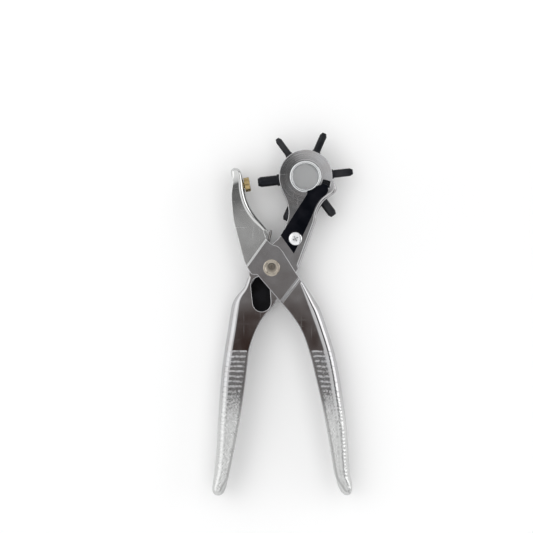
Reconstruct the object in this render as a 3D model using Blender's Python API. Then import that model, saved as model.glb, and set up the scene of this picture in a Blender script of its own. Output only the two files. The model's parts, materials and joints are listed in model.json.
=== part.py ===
"""Rotary leather punch: two pressed U-channel levers, a six-tube wheel and its index spring.

The tool lies on its back. +Z is the pivot axis, towards the front; the origin is the centre of the
rear rivet face. +Y points to the jaws and +X to the side that the wheel is on. Sizes below are in
millimetres and are turned into metres where the meshes are made.
"""
import math

import bmesh
import bpy
from mathutils import Matrix, Vector
from mathutils.geometry import tessellate_polygon

MM = 0.001
GAP = 0.3                      # running gap between pieces that touch

# Sheet metal and the stack along the pivot
SHEET = 1.6
CHEEK = 7.3                    # mid plane to the outer face of a cheek
CRANK = SHEET + GAP            # how far the anvil lever's pivot cheeks are joggled outwards
PEEN_T = 1.3                   # rivet's rear head
WASHER_T = 0.8
MID = PEEN_T + WASHER_T + 2 * GAP + CHEEK + CRANK      # height of the plane of symmetry
CRANK_RUN = 2.6                # length of the joggle's slope
UPPER_BEND = (11.6, 144.2)     # joggle above the pivot: distance and direction from it
LOWER_BEND = (17.3, -37.7)     # joggle below the pivot
BEND_STEPS = 3                 # facets of a bent edge
OUTLINE_STEP = 5.0             # spacing of the points on a curved outline

# Pivot
RIVET_R = 3.0
RIVET_HEAD_R = 5.6
BUSH_WALL = 0.9
PEEN_R = 4.6
WASHER_R = 6.4

# Wheel
WHEEL_X = 22.1
WHEEL_Y = 59.3
HEAD_R = 17.5
HUB_R = 16.5
HUB_HALF = 5.3
AXLE_BORE_R = 8.2
AXLE_WALL = 0.9
AXLE_FLANGE_R = 10.3
AXLE_FLANGE_T = 0.7
TUBE_COUNT = 6
FIRST_TUBE_DEG = 186.4         # the tube that faces the anvil
TUBE_TIP_R = 31.2
TUBE_WALL = 1.1
TUBE_BORES = (4.5, 2.0, 2.5, 3.0, 3.5, 4.0)    # clockwise from the anvil
TUBE_SHANK_R = 2.5
GROOVE_DEG = -21.0
GROOVE_W = 3.2
GROOVE_DEPTH = 1.9

# Anvil pad, seen from the pad's face
PAD_FACE = (-14.1, 54.7)
PAD_DEG = 10.0
PAD_R = 4.7
PAD_T = 3.6
PAD_STEM_R = 2.0

# Index spring and its screw
LEAF_T = 0.8
SCREW_X = 15.4
SCREW_Y = 18.9
SCREW_R = 1.6
SCREW_HEAD_R = 4.4
SCREW_HEAD_H = 2.0
NUT_R = 3.5
NUT_T = 2.4

# Return spring
WIRE_R = 0.8
COIL_R = 6.0
COIL_PITCH = 1.95
LEG_UP = (-0.2, 24.6)          # end of the leg that bears on the anvil lever
LEG_DOWN = (-18.2, -17.9)      # end of the leg that bears on the punch lever

# Lever outlines run anticlockwise. An edge run holds (x, y). A bent run holds
# (x, y, bend radius, bend angle) on the outside of the bend; "web" joins front and rear cheeks,
# "lip" only turns each cheek's edge in, and "tab" is the web alone.
ANVIL_LEVER = [
    ("edge", [(-25.3, 55.6), (-26.1, 50.0), (-26.2, 44.0), (-25.1, 32.4), (-23.1, 23.9),
              (-20.2, 12.9), (-17.7, 3.8), (-14.7, -1.7)]),
    ("edge", [(-14.7, -1.7), (-13.0, -4.2), (-9.4, -4.6)]),
    ("edge", [(-9.4, -4.6), (4.2, -20.4)]),
    ("edge", [(4.2, -20.4), (13.1, -30.9), (20.0, -42.1), (25.4, -57.6), (30.7, -79.4),
              (34.6, -97.0), (38.0, -115.0), (40.8, -132.5), (42.2, -138.0)]),
    ("lip", [(42.2, -138.0, 2.4, 5), (43.1, -141.8, 2.4, 60), (45.2, -145.3, 2.6, 90)]),
    ("web", [(45.2, -145.3, 2.6, 90), (48.4, -147.3, 2.8, 90), (51.2, -146.4, 3.2, 90),
             (52.2, -142.6, 4.2, 90), (51.4, -136.0, 6.0, 90), (50.6, -127.0, 6.8, 90),
             (49.9, -115.0, 6.8, 90), (48.4, -98.0, 6.8, 90), (44.3, -70.7, 6.8, 90),
             (40.8, -54.3, 6.8, 90), (36.5, -40.4, 6.8, 90), (31.9, -27.5, 6.8, 90),
             (28.2, -21.0, 5.6, 90), (24.0, -14.6, 3.8, 90), (20.9, -10.2, 2.4, 90)]),
    ("lip", [(20.9, -10.2, 2.4, 90), (20.2, -9.2, 2.4, 50), (19.5, -8.3, 2.4, 5)]),
    ("edge", [(19.5, -8.3), (16.2, -3.7)]),
    ("edge", [(16.2, -3.7), (9.7, 6.8), (6.2, 12.2), (3.7, 14.2), (0.7, 15.2), (-2.3, 17.7),
              (-4.2, 21.2), (-4.9, 23.6)]),
    ("tab", [(-1.5, 23.0, 2.3, 90), (-3.5, 25.4, 2.3, 90)]),
    ("web", [(-3.5, 25.4, 2.3, 90), (-6.4, 29.1, 2.3, 90), (-10.1, 33.5, 2.3, 90),
             (-13.8, 39.1, 2.3, 90), (-16.1, 44.6, 2.3, 90), (-17.5, 50.5, 2.3, 90),
             (-18.3, 55.6, 2.3, 90), (-19.4, 60.9, 2.3, 90), (-21.2, 64.2, 2.3, 90),
             (-24.2, 65.2, 2.3, 90)]),
    ("lip", [(-24.2, 65.2, 2.3, 90), (-26.5, 63.6, 2.3, 80), (-26.3, 60.0, 2.3, 60),
             (-25.5, 57.2, 2.3, 5)]),
]
PUNCH_LEVER = [
    ("edge", [(5.0, 61.5), (4.9, 57.0), (6.8, 50.3), (10.0, 43.0), (11.1, 35.8), (9.8, 29.4),
              (5.9, 21.0), (1.0, 16.1)]),
    ("edge", [(1.0, 16.1), (-5.4, 10.1), (-13.4, -0.9), (-14.7, -2.9), (-14.9, -4.2)]),
    ("lip", [(-14.9, -4.2, 2.2, 5), (-15.3, -5.7, 2.2, 50), (-15.8, -7.3, 2.2, 90)]),
    ("web", [(-15.8, -7.3, 2.2, 90), (-17.9, -12.7, 2.3, 90), (-21.9, -17.3, 3.2, 90),
             (-24.9, -21.8, 4.6, 90), (-26.6, -28.0, 5.3, 90), (-28.3, -39.4, 5.3, 90),
             (-30.7, -54.3, 5.3, 90), (-32.8, -70.7, 5.3, 90), (-34.8, -98.5, 5.3, 90),
             (-35.9, -117.8, 5.3, 90), (-37.1, -131.5, 5.2, 90), (-38.0, -140.0, 4.0, 90),
             (-38.2, -145.4, 3.0, 90), (-35.6, -148.3, 2.6, 90), (-32.6, -147.1, 2.6, 90)]),
    ("lip", [(-32.6, -147.1, 2.6, 90), (-29.6, -142.9, 2.4, 60), (-28.3, -137.8, 2.4, 5)]),
    ("edge", [(-28.3, -137.8), (-26.9, -131.5), (-24.9, -121.5), (-20.3, -97.0), (-16.6, -70.7),
              (-14.6, -54.1), (-12.0, -45.3), (-9.6, -39.4), (-5.6, -32.5), (0.8, -25.0)]),
    ("edge", [(0.8, -25.0), (2.6, -22.4), (3.7, -19.8), (5.2, -16.6)]),
    ("edge", [(5.2, -16.6), (15.6, -3.2)]),
    ("edge", [(15.6, -3.2), (17.4, -0.8)]),
    ("lip", [(17.4, -0.8, 2.6, 5), (18.2, 0.6, 2.6, 50), (18.9, 2.2, 2.6, 90)]),
    ("web", [(18.9, 2.2, 2.6, 90), (23.7, 15.2, 2.6, 90), (27.1, 24.4, 2.6, 90)]),
    ("lip", [(27.1, 24.4, 2.6, 90), (29.1, 30.1, 2.6, 90), (30.6, 36.9, 2.6, 90),
             (34.7, 43.7, 2.6, 90), (41.4, 48.9, 2.6, 90), (42.3, 52.6, 2.4, 60),
             (40.4, 56.4, 2.4, 5)]),
]
HEAD_ARC_DEG = (-6.0, 172.0)   # where the head's outline is a plain arc about the wheel

WINDOW = ((-7.4, -11.8, 6.0), (-6.4, -22.6, 5.8))       # two circles of the oval window

LEAF_OUTLINE = [
    ("edge", [(14.5, 9.2), (21.5, 23.5), (26.8, 35.1), (28.9, 40.4), (31.8, 44.5), (35.1, 47.1),
              (36.8, 50.0)]),
    ("edge", [(22.9, 47.6), (5.9, 21.1)]),
    ("edge", [(5.9, 21.1), (14.5, 9.2)]),
]
LEAF_RING_R = 9.4              # the leaf's hollow edge around the wheel's axle
LEAF_RING_DEG = (-42.0, -82.0)
TONGUE_R = (12.0, 15.8)        # ends of the bent tongue, from the wheel's axis
TONGUE_DROP = 5.2
LEAF_RISE = 1.1                # the leaf climbs over the axle's flange by this much
LEAF_RISE_FROM = 9.0           # distances from the screw between which it climbs
LEAF_RISE_TO = 24.0


def clear_scene():
    for item in list(bpy.data.objects):
        bpy.data.objects.remove(item, do_unlink=True)


def material(name, color, metallic, roughness):
    mat = bpy.data.materials.new(name)
    mat.use_nodes = True
    shader = mat.node_tree.nodes["Principled BSDF"]
    shader.inputs["Base Color"].default_value = (*color, 1.0)
    shader.inputs["Metallic"].default_value = metallic
    shader.inputs["Roughness"].default_value = roughness
    return mat


def add_object(name, bm, mat, smooth_deg=35.0):
    """Make an object from a bmesh in millimetres."""
    bmesh.ops.remove_doubles(bm, verts=bm.verts, dist=1e-4)
    bmesh.ops.scale(bm, vec=(MM, MM, MM), verts=bm.verts)
    mesh = bpy.data.meshes.new(name)
    bm.to_mesh(mesh)
    bm.free()
    mesh.materials.append(mat)
    mesh.shade_smooth()
    mesh.set_sharp_from_angle(angle=math.radians(smooth_deg))
    obj = bpy.data.objects.new(name, mesh)
    bpy.context.scene.collection.objects.link(obj)
    return obj


def polar(radius, degrees, centre=(0.0, 0.0)):
    angle = math.radians(degrees)
    return (centre[0] + radius * math.cos(angle), centre[1] + radius * math.sin(angle))


def smooth_run(points, step):
    """Points about `step` apart on a Catmull-Rom curve through the given ones."""
    rows = [Vector(p) for p in points]
    rows = [2 * rows[0] - rows[1]] + rows + [2 * rows[-1] - rows[-2]]
    out = []
    for a, b, c, d in zip(rows, rows[1:], rows[2:], rows[3:]):
        count = max(1, round((Vector(c[:2]) - Vector(b[:2])).length / step))
        for i in range(count):
            t = i / count
            out.append(0.5 * (2 * b + (c - a) * t + (2 * a - 5 * b + 4 * c - d) * t * t
                              + (3 * b - a - 3 * c + d) * t ** 3))
    out.append(rows[-2])
    return out


def circle(radius, centre, count, start_deg=0.0):
    return [polar(radius, start_deg + 360.0 * i / count, centre) for i in range(count)]


def slot(first, second, steps=8):
    """Outline of the two given circles (x, y, r) and their outer tangents."""
    a = Vector(first[:2])
    b = Vector(second[:2])
    along = b - a
    turn = math.degrees(math.atan2(along.y, along.x))
    lean = math.degrees(math.asin((first[2] - second[2]) / along.length))
    points = []
    for i in range(steps + 1):
        points.append(polar(second[2], turn - 90 + lean + (180 - 2 * lean) * i / steps, b))
    for i in range(steps + 1):
        points.append(polar(first[2], turn + 90 - lean + (180 + 2 * lean) * i / steps, a))
    return points


def tongue_window():
    """Opening in the head's front cheek that the leaf's tongue drops through."""
    centre = (WHEEL_X, WHEEL_Y)
    corners = ((11.5, -27.0), (17.0, -26.0), (16.6, -11.0), (11.5, -9.0))
    return [polar(r, deg, centre) for r, deg in corners]


def crank_lift(x, y):
    """Outward shift of the anvil lever's cheek: full between the two joggles."""
    lift = CRANK
    for distance, degrees in (UPPER_BEND, LOWER_BEND):
        angle = math.radians(degrees)
        past = x * math.cos(angle) + y * math.sin(angle) - distance
        t = min(max(past / CRANK_RUN, 0.0), 1.0)
        lift = min(lift, CRANK * (1.0 - t))
    return lift


def no_lift(x, y):
    return 0.0


class Station:
    """A place on a bent edge: its outside point, its outward normal and its bend."""

    def __init__(self, point, normal, radius, degrees):
        self.point = Vector(point)
        self.normal = normal
        self.radius = radius
        self.angle = math.radians(degrees)

    def row(self, fraction):
        """Place and drop below the cheek's face after this fraction of the bend."""
        turn = self.angle * fraction
        reach = self.radius * (math.sin(turn) - math.sin(self.angle))
        depth = min(self.radius, CHEEK - 1.0) * (1.0 - math.cos(turn))
        return self.point + self.normal * reach, depth


def stations(points, step):
    rows = smooth_run(points, step)
    out = []
    for i, row in enumerate(rows):
        before = rows[max(i - 1, 0)]
        after = rows[min(i + 1, len(rows) - 1)]
        along = Vector((after[0] - before[0], after[1] - before[1])).normalized()
        out.append(Station(row[:2], Vector((along.y, -along.x)), row[2], row[3]))
    return out


def same_ends(runs):
    """Give neighbouring bent runs one shared station, so that they meet without a step."""
    for (kind, rows), (next_kind, next_rows) in zip(runs, runs[1:]):
        if kind != "edge" and next_kind != "edge":
            next_rows[0].normal = (rows[-1].normal + next_rows[0].normal).normalized()
            rows[-1] = next_rows[0]


def cheek_loop(runs):
    """The flat cheek's outline: free edges, and the inner side of each bend."""
    loop = []
    for kind, rows in runs:
        if kind == "tab":
            continue
        for row in rows:
            loop.append(row.row(0.0)[0] if isinstance(row, Station) else Vector(row[:2]))
    clean = []
    for point in loop:
        if not clean or (point - clean[-1]).length > 0.02:
            clean.append(point)
    return clean


def add_cheek(bm, loop, holes, lift, side):
    rings = [[Vector((p[0], p[1], 0.0)) for p in ring] for ring in [loop] + holes]
    verts = [bm.verts.new((p.x, p.y, 0.0)) for ring in rings for p in ring]
    faces = [bm.faces.new([verts[i] for i in tri]) for tri in tessellate_polygon(rings)]
    for distance, degrees in (UPPER_BEND, LOWER_BEND):
        for extra in (0.0, CRANK_RUN):
            if lift is no_lift:
                continue
            x, y = polar(distance + extra, degrees)
            nx, ny = polar(1.0, degrees)
            edges = {e for f in faces for e in f.edges}
            corners = {v for f in faces for v in f.verts}
            cut = bmesh.ops.bisect_plane(bm, geom=list(corners) + list(edges) + faces, dist=1e-4,
                                         plane_co=(x, y, 0.0), plane_no=(nx, ny, 0.0))
            faces = [g for g in cut["geom"] if isinstance(g, bmesh.types.BMFace)]
    for v in {v for f in faces for v in f.verts}:
        v.co.z = MID + side * (CHEEK + lift(v.co.x, v.co.y))


def add_bend(bm, kind, rows):
    """The bent strips of both cheeks along one run, and the web between them."""
    grid = []
    for row in rows:
        column = []
        for side in (1, -1):
            for i in range(BEND_STEPS + 1):
                place, depth = row.row(i / BEND_STEPS)
                column.append(bm.verts.new((place.x, place.y, MID + side * (CHEEK - depth))))
        grid.append(column)
    last = BEND_STEPS
    for a, b in zip(grid, grid[1:]):
        if kind != "tab":
            for base in (0, BEND_STEPS + 1):
                for i in range(base, base + BEND_STEPS):
                    bm.faces.new((a[i], a[i + 1], b[i + 1], b[i]))
        if kind != "lip":
            bm.faces.new((a[last], a[2 * last + 1], b[2 * last + 1], b[last]))


def pressed_lever(name, outline, front_holes, rear_holes, lift, mat):
    """A lever bent from one sheet: two cheeks, bent edges and webs, thickened inwards."""
    runs = []
    for kind, points in outline:
        if kind == "edge":
            runs.append((kind, smooth_run(points, OUTLINE_STEP)))
        else:
            runs.append((kind, stations(points, OUTLINE_STEP)))
    same_ends(runs)
    loop = cheek_loop(runs)
    bm = bmesh.new()
    add_cheek(bm, loop, front_holes, lift, 1)
    add_cheek(bm, loop, rear_holes, lift, -1)
    for kind, rows in runs:
        if kind != "edge":
            add_bend(bm, kind, rows)
    bmesh.ops.remove_doubles(bm, verts=bm.verts, dist=5e-3)
    bmesh.ops.dissolve_degenerate(bm, edges=bm.edges, dist=1e-3)
    bmesh.ops.recalc_face_normals(bm, faces=bm.faces)
    top = max(bm.faces, key=lambda f: f.calc_center_median().z)
    if top.normal.z < 0:
        bmesh.ops.reverse_faces(bm, faces=bm.faces)
    lever = add_object(name, bm, mat)
    sheet = lever.modifiers.new("Sheet", "SOLIDIFY")
    sheet.thickness = SHEET * MM
    sheet.offset = -1.0
    sheet.use_even_offset = True
    return lever


def turned(name, profile, mat, segments=32, ring=False, place=None):
    """Turn (radius, height) points about Z; a ring's profile closes on itself."""
    bm = bmesh.new()
    rings = []
    for radius, height in profile:
        if radius < 1e-6:
            rings.append([bm.verts.new((0.0, 0.0, height))] * segments)
            continue
        rings.append([bm.verts.new((*polar(radius, 360.0 * i / segments), height))
                      for i in range(segments)])
    pairs = list(zip(rings, rings[1:]))
    if ring:
        pairs.append((rings[-1], rings[0]))
    for low, high in pairs:
        for i in range(segments):
            j = (i + 1) % segments
            corners = list(dict.fromkeys((low[i], low[j], high[j], high[i])))
            if len(corners) > 2:
                bm.faces.new(corners)
    bmesh.ops.recalc_face_normals(bm, faces=bm.faces)
    if place:
        bmesh.ops.transform(bm, matrix=place, verts=bm.verts)
    return add_object(name, bm, mat)


def prism(name, outline, low, high, mat):
    """Straight prism on a plan outline, between two heights."""
    bm = bmesh.new()
    floor = [bm.verts.new((x, y, low)) for x, y in outline]
    face = bm.faces.new(floor)
    grown = bmesh.ops.extrude_face_region(bm, geom=[face])
    moved = [g for g in grown["geom"] if isinstance(g, bmesh.types.BMVert)]
    bmesh.ops.translate(bm, vec=(0.0, 0.0, high - low), verts=moved)
    bmesh.ops.recalc_face_normals(bm, faces=bm.faces)
    return add_object(name, bm, mat)


def cut(target, cutter):
    """Subtract a cutter, which stays in the file as a hidden wire guide."""
    cutter.hide_render = True
    cutter.display_type = "WIRE"
    knife = target.modifiers.new(cutter.name, "BOOLEAN")
    knife.operation = "DIFFERENCE"
    knife.solver = "EXACT"
    knife.object = cutter


def along_x(x, y, z, degrees):
    """Placement that turns a piece's own Z axis to a direction in the XY plane."""
    return (Matrix.Translation((x, y, z)) @ Matrix.Rotation(math.radians(degrees), 4, "Z")
            @ Matrix.Rotation(math.radians(90), 4, "Y"))


def outline_loop(runs, step):
    points = []
    for _, run in runs:
        points += [tuple(p[:2]) for p in smooth_run(run, step)[:-1]]
    return points


def build_anvil_lever(mat):
    pivot = circle(RIVET_R + GAP, (0.0, 0.0), 20)
    lever = pressed_lever("anvil_lever", ANVIL_LEVER, [pivot], [pivot], crank_lift, mat)
    stem_hole = turned("cutter_pad_stem", [(0, -9), (PAD_STEM_R + GAP, -9), (PAD_STEM_R + GAP, 0), (0, 0)],
                       mat, 20, place=along_x(*PAD_FACE, MID, PAD_DEG))
    cut(lever, stem_hole)
    return lever


def build_punch_lever(mat):
    wheel = (WHEEL_X, WHEEL_Y)
    first, last = HEAD_ARC_DEG
    arc = [polar(HEAD_R, first + (last - first) * i / 18, wheel) for i in range(19)]
    outline = PUNCH_LEVER + [("edge", arc)]
    pivot = circle(RIVET_R + GAP, (0.0, 0.0), 20)
    axle = circle(AXLE_BORE_R + AXLE_WALL + GAP, wheel, 32)
    screw = circle(SCREW_R + GAP, (SCREW_X, SCREW_Y), 12)
    front = [pivot, axle, screw, slot(*WINDOW), tongue_window()]
    return pressed_lever("punch_lever", outline, front, [pivot, axle], no_lift, mat)


def build_pivot(steel, dark_steel):
    stack = CHEEK + CRANK
    head = MID + stack + GAP
    washer = MID - stack - GAP
    profile = [(0, 0), (PEEN_R - 0.5, 0), (PEEN_R, 0.5), (PEEN_R, PEEN_T),
               (RIVET_R, PEEN_T), (RIVET_R, head), (RIVET_HEAD_R, head),
               (RIVET_HEAD_R, head + 0.9), (5.1, head + 1.5), (4.3, head + 1.5), (3.6, head + 0.9),
               (0, head + 0.7)]
    turned("pivot_rivet", profile, steel, 32)
    turned("pivot_washer", [(RIVET_R + GAP, washer - WASHER_T), (WASHER_R, washer - WASHER_T),
                            (WASHER_R, washer), (RIVET_R + GAP, washer)], steel, 32, ring=True)
    inner = RIVET_R + GAP
    half = CHEEK - SHEET - GAP
    turned("pivot_bush", [(inner, MID - half), (inner + BUSH_WALL, MID - half),
                          (inner + BUSH_WALL, MID + half), (inner, MID + half)],
           dark_steel, 24, ring=True)


def build_axle(mat):
    """Eyelet that holds the wheel: a tube with a rolled flange on each cheek."""
    wall = AXLE_BORE_R + AXLE_WALL
    face = CHEEK + GAP
    top = face + AXLE_FLANGE_T
    half = [(wall, face), (AXLE_FLANGE_R, face), (AXLE_FLANGE_R, face + 0.35),
            (AXLE_FLANGE_R - 0.5, top), (AXLE_BORE_R + 0.8, top), (AXLE_BORE_R, top - 0.8)]
    profile = [(r, MID + h) for r, h in half] + [(r, MID - h) for r, h in reversed(half)]
    turned("wheel_axle", profile, mat, 32, ring=True,
           place=Matrix.Translation((WHEEL_X, WHEEL_Y, 0.0)))


def build_hub(mat):
    inner = AXLE_BORE_R + AXLE_WALL + GAP
    edge = 0.6
    profile = [(inner, MID - HUB_HALF), (HUB_R - edge, MID - HUB_HALF), (HUB_R, MID - HUB_HALF + edge),
               (HUB_R, MID + HUB_HALF - edge), (HUB_R - edge, MID + HUB_HALF), (inner, MID + HUB_HALF)]
    hub = turned("wheel_hub", profile, mat, 40, ring=True,
                 place=Matrix.Translation((WHEEL_X, WHEEL_Y, 0.0)))
    for i in range(TUBE_COUNT):
        seat = [(0, inner - 2), (TUBE_SHANK_R + GAP, inner - 2), (TUBE_SHANK_R + GAP, HUB_R + 2),
                (0, HUB_R + 2)]
        degrees = FIRST_TUBE_DEG - i * 360.0 / TUBE_COUNT
        cut(hub, turned(f"cutter_seat_{i}", seat, mat, 16, place=along_x(WHEEL_X, WHEEL_Y, MID, degrees)))
        cut(hub, build_groove_cutter(i, mat))
    return hub


def build_groove_cutter(i, mat):
    turn = GROOVE_DEG + i * 360.0 / TUBE_COUNT
    centre = (WHEEL_X, WHEEL_Y)
    corners = []
    for radius, side in ((11.2, -1), (HUB_R + 1, -1), (HUB_R + 1, 1), (11.2, 1)):
        lean = math.degrees(math.atan2(side * GROOVE_W / 2, radius))
        corners.append(polar(radius, turn + lean, centre))
    top = MID + HUB_HALF
    return prism(f"cutter_groove_{i}", corners, top - GROOVE_DEPTH, top + 1.0, mat)


def build_tubes(mat):
    """Punch tubes: shank in the hub, collar, body with a slug slot, and a ground cutting edge."""
    for i, bore in enumerate(TUBE_BORES):
        r_bore = bore / 2
        r_body = r_bore + TUBE_WALL
        collar = HUB_R + GAP
        shank_bore = min(r_bore, TUBE_SHANK_R - 0.6)
        profile = [(TUBE_SHANK_R, 11.0), (TUBE_SHANK_R, collar), (r_body + 0.5, collar),
                   (r_body + 0.5, collar + 1.4), (r_body, collar + 1.9), (r_body, TUBE_TIP_R - 2.0),
                   (r_bore + 0.12, TUBE_TIP_R), (r_bore, TUBE_TIP_R), (r_bore, collar + 4.0),
                   (shank_bore, collar + 3.0), (shank_bore, 11.0)]
        degrees = FIRST_TUBE_DEG - i * 360.0 / TUBE_COUNT
        place = along_x(WHEEL_X, WHEEL_Y, MID, degrees)
        name = f"punch_tube_{bore:.1f}".replace(".", "_")
        tube = turned(name, profile, mat, 16, ring=True, place=place)
        slug_slot = slot((0, collar + 4.5, r_bore * 0.7), (0, TUBE_TIP_R - 4.5, r_bore * 0.7), 5)
        slug_cutter = prism(f"cutter_slug_{i}", slug_slot, 0.0, 6.0, mat)
        lay = Matrix(((0, 1, 0, 0), (1, 0, 0, 0), (0, 0, -1, 0), (0, 0, 0, 1)))
        slug_cutter.data.transform(lay)
        slug_cutter.location = (WHEEL_X * MM, WHEEL_Y * MM, MID * MM)
        slug_cutter.rotation_euler = (0.0, 0.0, math.radians(degrees))
        cut(tube, slug_cutter)


def build_pad(mat):
    """Brass disc on the anvil jaw, riveted through the web by its stem."""
    shoulder = -PAD_T
    inside = shoulder - SHEET - 2 * GAP
    profile = [(0, inside - 0.9), (3.0, inside - 0.9), (3.0, inside), (PAD_STEM_R, inside),
               (PAD_STEM_R, shoulder), (PAD_R, shoulder), (PAD_R, -0.4), (PAD_R - 0.4, 0), (0, 0)]
    turned("anvil_pad", profile, mat, 32, place=along_x(*PAD_FACE, MID, PAD_DEG))


def leaf_height(x, y):
    """Height of the leaf's underside: flat at the screw, then climbing over the axle's flange."""
    away = math.hypot(x - SCREW_X, y - SCREW_Y)
    t = min(max((away - LEAF_RISE_FROM) / (LEAF_RISE_TO - LEAF_RISE_FROM), 0.0), 1.0)
    toward = 1.0 if y > SCREW_Y else 0.0
    return MID + CHEEK + GAP + toward * LEAF_RISE * t * t * (3 - 2 * t)


def build_index_spring(mat):
    wheel = (WHEEL_X, WHEEL_Y)
    right, left, foot = LEAF_OUTLINE
    tongue = [polar(TONGUE_R[1], GROOVE_DEG, wheel), polar(TONGUE_R[0], GROOVE_DEG, wheel)]
    start, end = LEAF_RING_DEG
    hollow = [polar(LEAF_RING_R, start + (end - start) * i / 5, wheel) for i in range(6)]
    loop = [tuple(p) for p in smooth_run(right[1], OUTLINE_STEP)] + tongue + hollow
    loop += left[1] + foot[1][1:-1]
    hole = circle(SCREW_R + GAP, (SCREW_X, SCREW_Y), 12)
    rings = [[Vector((x, y, 0.0)) for x, y in ring] for ring in (loop, hole)]
    bm = bmesh.new()
    verts = [bm.verts.new(p) for ring in rings for p in ring]
    for tri in tessellate_polygon(rings):
        bm.faces.new([verts[i] for i in tri])
    climb = Vector((WHEEL_X - SCREW_X, WHEEL_Y - SCREW_Y, 0.0)).normalized()
    for away in range(9, 26, 3):
        spot = Vector((SCREW_X, SCREW_Y, 0.0)) + climb * away
        bmesh.ops.bisect_plane(bm, geom=bm.verts[:] + bm.edges[:] + bm.faces[:], dist=1e-4,
                               plane_co=spot, plane_no=climb)
    for v in bm.verts:
        v.co.z = leaf_height(v.co.x, v.co.y) + LEAF_T
    ends = [min(bm.verts, key=lambda v, p=p: (v.co.xy - Vector(p)).length) for p in tongue]
    drop = [bm.verts.new(v.co - Vector((0, 0, TONGUE_DROP))) for v in ends]
    bm.faces.new((ends[0], ends[1], drop[1], drop[0]))
    bmesh.ops.recalc_face_normals(bm, faces=bm.faces)
    if max(bm.faces, key=lambda f: f.calc_area()).normal.z < 0:
        bmesh.ops.reverse_faces(bm, faces=bm.faces)
    leaf = add_object("index_spring", bm, mat)
    sheet = leaf.modifiers.new("Sheet", "SOLIDIFY")
    sheet.thickness = LEAF_T * MM
    sheet.offset = -1.0
    sheet.use_even_offset = True


def build_index_screw(steel):
    seat = MID + CHEEK + GAP + LEAF_T + GAP
    dome = [(SCREW_HEAD_R * math.cos(math.radians(a)), seat + 0.5 + (SCREW_HEAD_H - 0.5) * math.sin(math.radians(a)))
            for a in range(0, 90, 15)]
    profile = [(0, MID + 1.5), (SCREW_R, MID + 1.5), (SCREW_R, seat), (SCREW_HEAD_R, seat)]
    profile += dome + [(0, seat + SCREW_HEAD_H)]
    place = Matrix.Translation((SCREW_X, SCREW_Y, 0.0))
    turned("index_spring_screw", profile, steel, 24, place=place)
    top = MID + CHEEK - SHEET - GAP
    nut = prism("index_spring_nut", circle(NUT_R, (SCREW_X, SCREW_Y), 6, 12.0), top - NUT_T, top, steel)
    hole = [(0, top - NUT_T - 1), (SCREW_R + GAP, top - NUT_T - 1), (SCREW_R + GAP, top + 0.2), (0, top + 0.2)]
    cut(nut, turned("cutter_nut", hole, steel, 16, place=place))


def tangent_deg(end, side):
    """Direction of the point where a straight leg from `end` touches the coil."""
    bearing = math.degrees(math.atan2(end[1], end[0]))
    return bearing + side * math.degrees(math.acos(COIL_R / math.hypot(*end)))


def build_return_spring(mat):
    """Torsion spring: one leg on the anvil lever's tab, four turns, one leg on the punch web."""
    start = tangent_deg(LEG_UP, 1)
    turns = 3
    finish = tangent_deg(LEG_DOWN, -1) % 360.0 + 360.0 * turns
    while finish - start < 360.0 * turns + 180.0:
        finish += 360.0
    top = MID + COIL_PITCH * (finish - start) / 720.0
    steps = round((finish - start) / 22.5)
    points = [(*LEG_UP, top)]
    for i in range(steps + 1):
        degrees = start + (finish - start) * i / steps
        points.append((*polar(COIL_R, degrees), top - COIL_PITCH * (degrees - start) / 360.0))
    points.append((*LEG_DOWN, points[-1][2]))
    curve = bpy.data.curves.new("return_spring", "CURVE")
    curve.dimensions = "3D"
    curve.bevel_depth = WIRE_R * MM
    curve.bevel_resolution = 1
    curve.use_fill_caps = True
    curve.render_resolution_u = 0
    spline = curve.splines.new("POLY")
    spline.points.add(len(points) - 1)
    for target, point in zip(spline.points, points):
        target.co = (*(c * MM for c in point), 1.0)
    curve.materials.append(mat)
    spring = bpy.data.objects.new("return_spring", curve)
    bpy.context.scene.collection.objects.link(spring)


def build():
    clear_scene()
    chrome = material("chrome_sheet", (0.62, 0.61, 0.62), 1.0, 0.12)
    black = material("black_oxide", (0.035, 0.038, 0.042), 0.8, 0.4)
    blued = material("spring_steel", (0.02, 0.022, 0.026), 0.7, 0.35)
    zinc = material("bright_zinc", (0.78, 0.78, 0.80), 1.0, 0.2)
    nickel = material("nickel", (0.66, 0.62, 0.54), 1.0, 0.2)
    brass = material("brass", (0.78, 0.62, 0.33), 1.0, 0.3)
    steel = material("plain_steel", (0.3, 0.3, 0.31), 1.0, 0.4)
    build_anvil_lever(chrome)
    build_punch_lever(chrome)
    build_pivot(nickel, steel)
    build_axle(chrome)
    build_hub(black)
    build_tubes(black)
    build_pad(brass)
    build_index_spring(blued)
    build_index_screw(zinc)
    build_return_spring(steel)


build()
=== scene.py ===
import json
import math

import bmesh
import bpy
import numpy as np
from mathutils import Matrix, Vector, noise
from mathutils.geometry import tessellate_polygon


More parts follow.
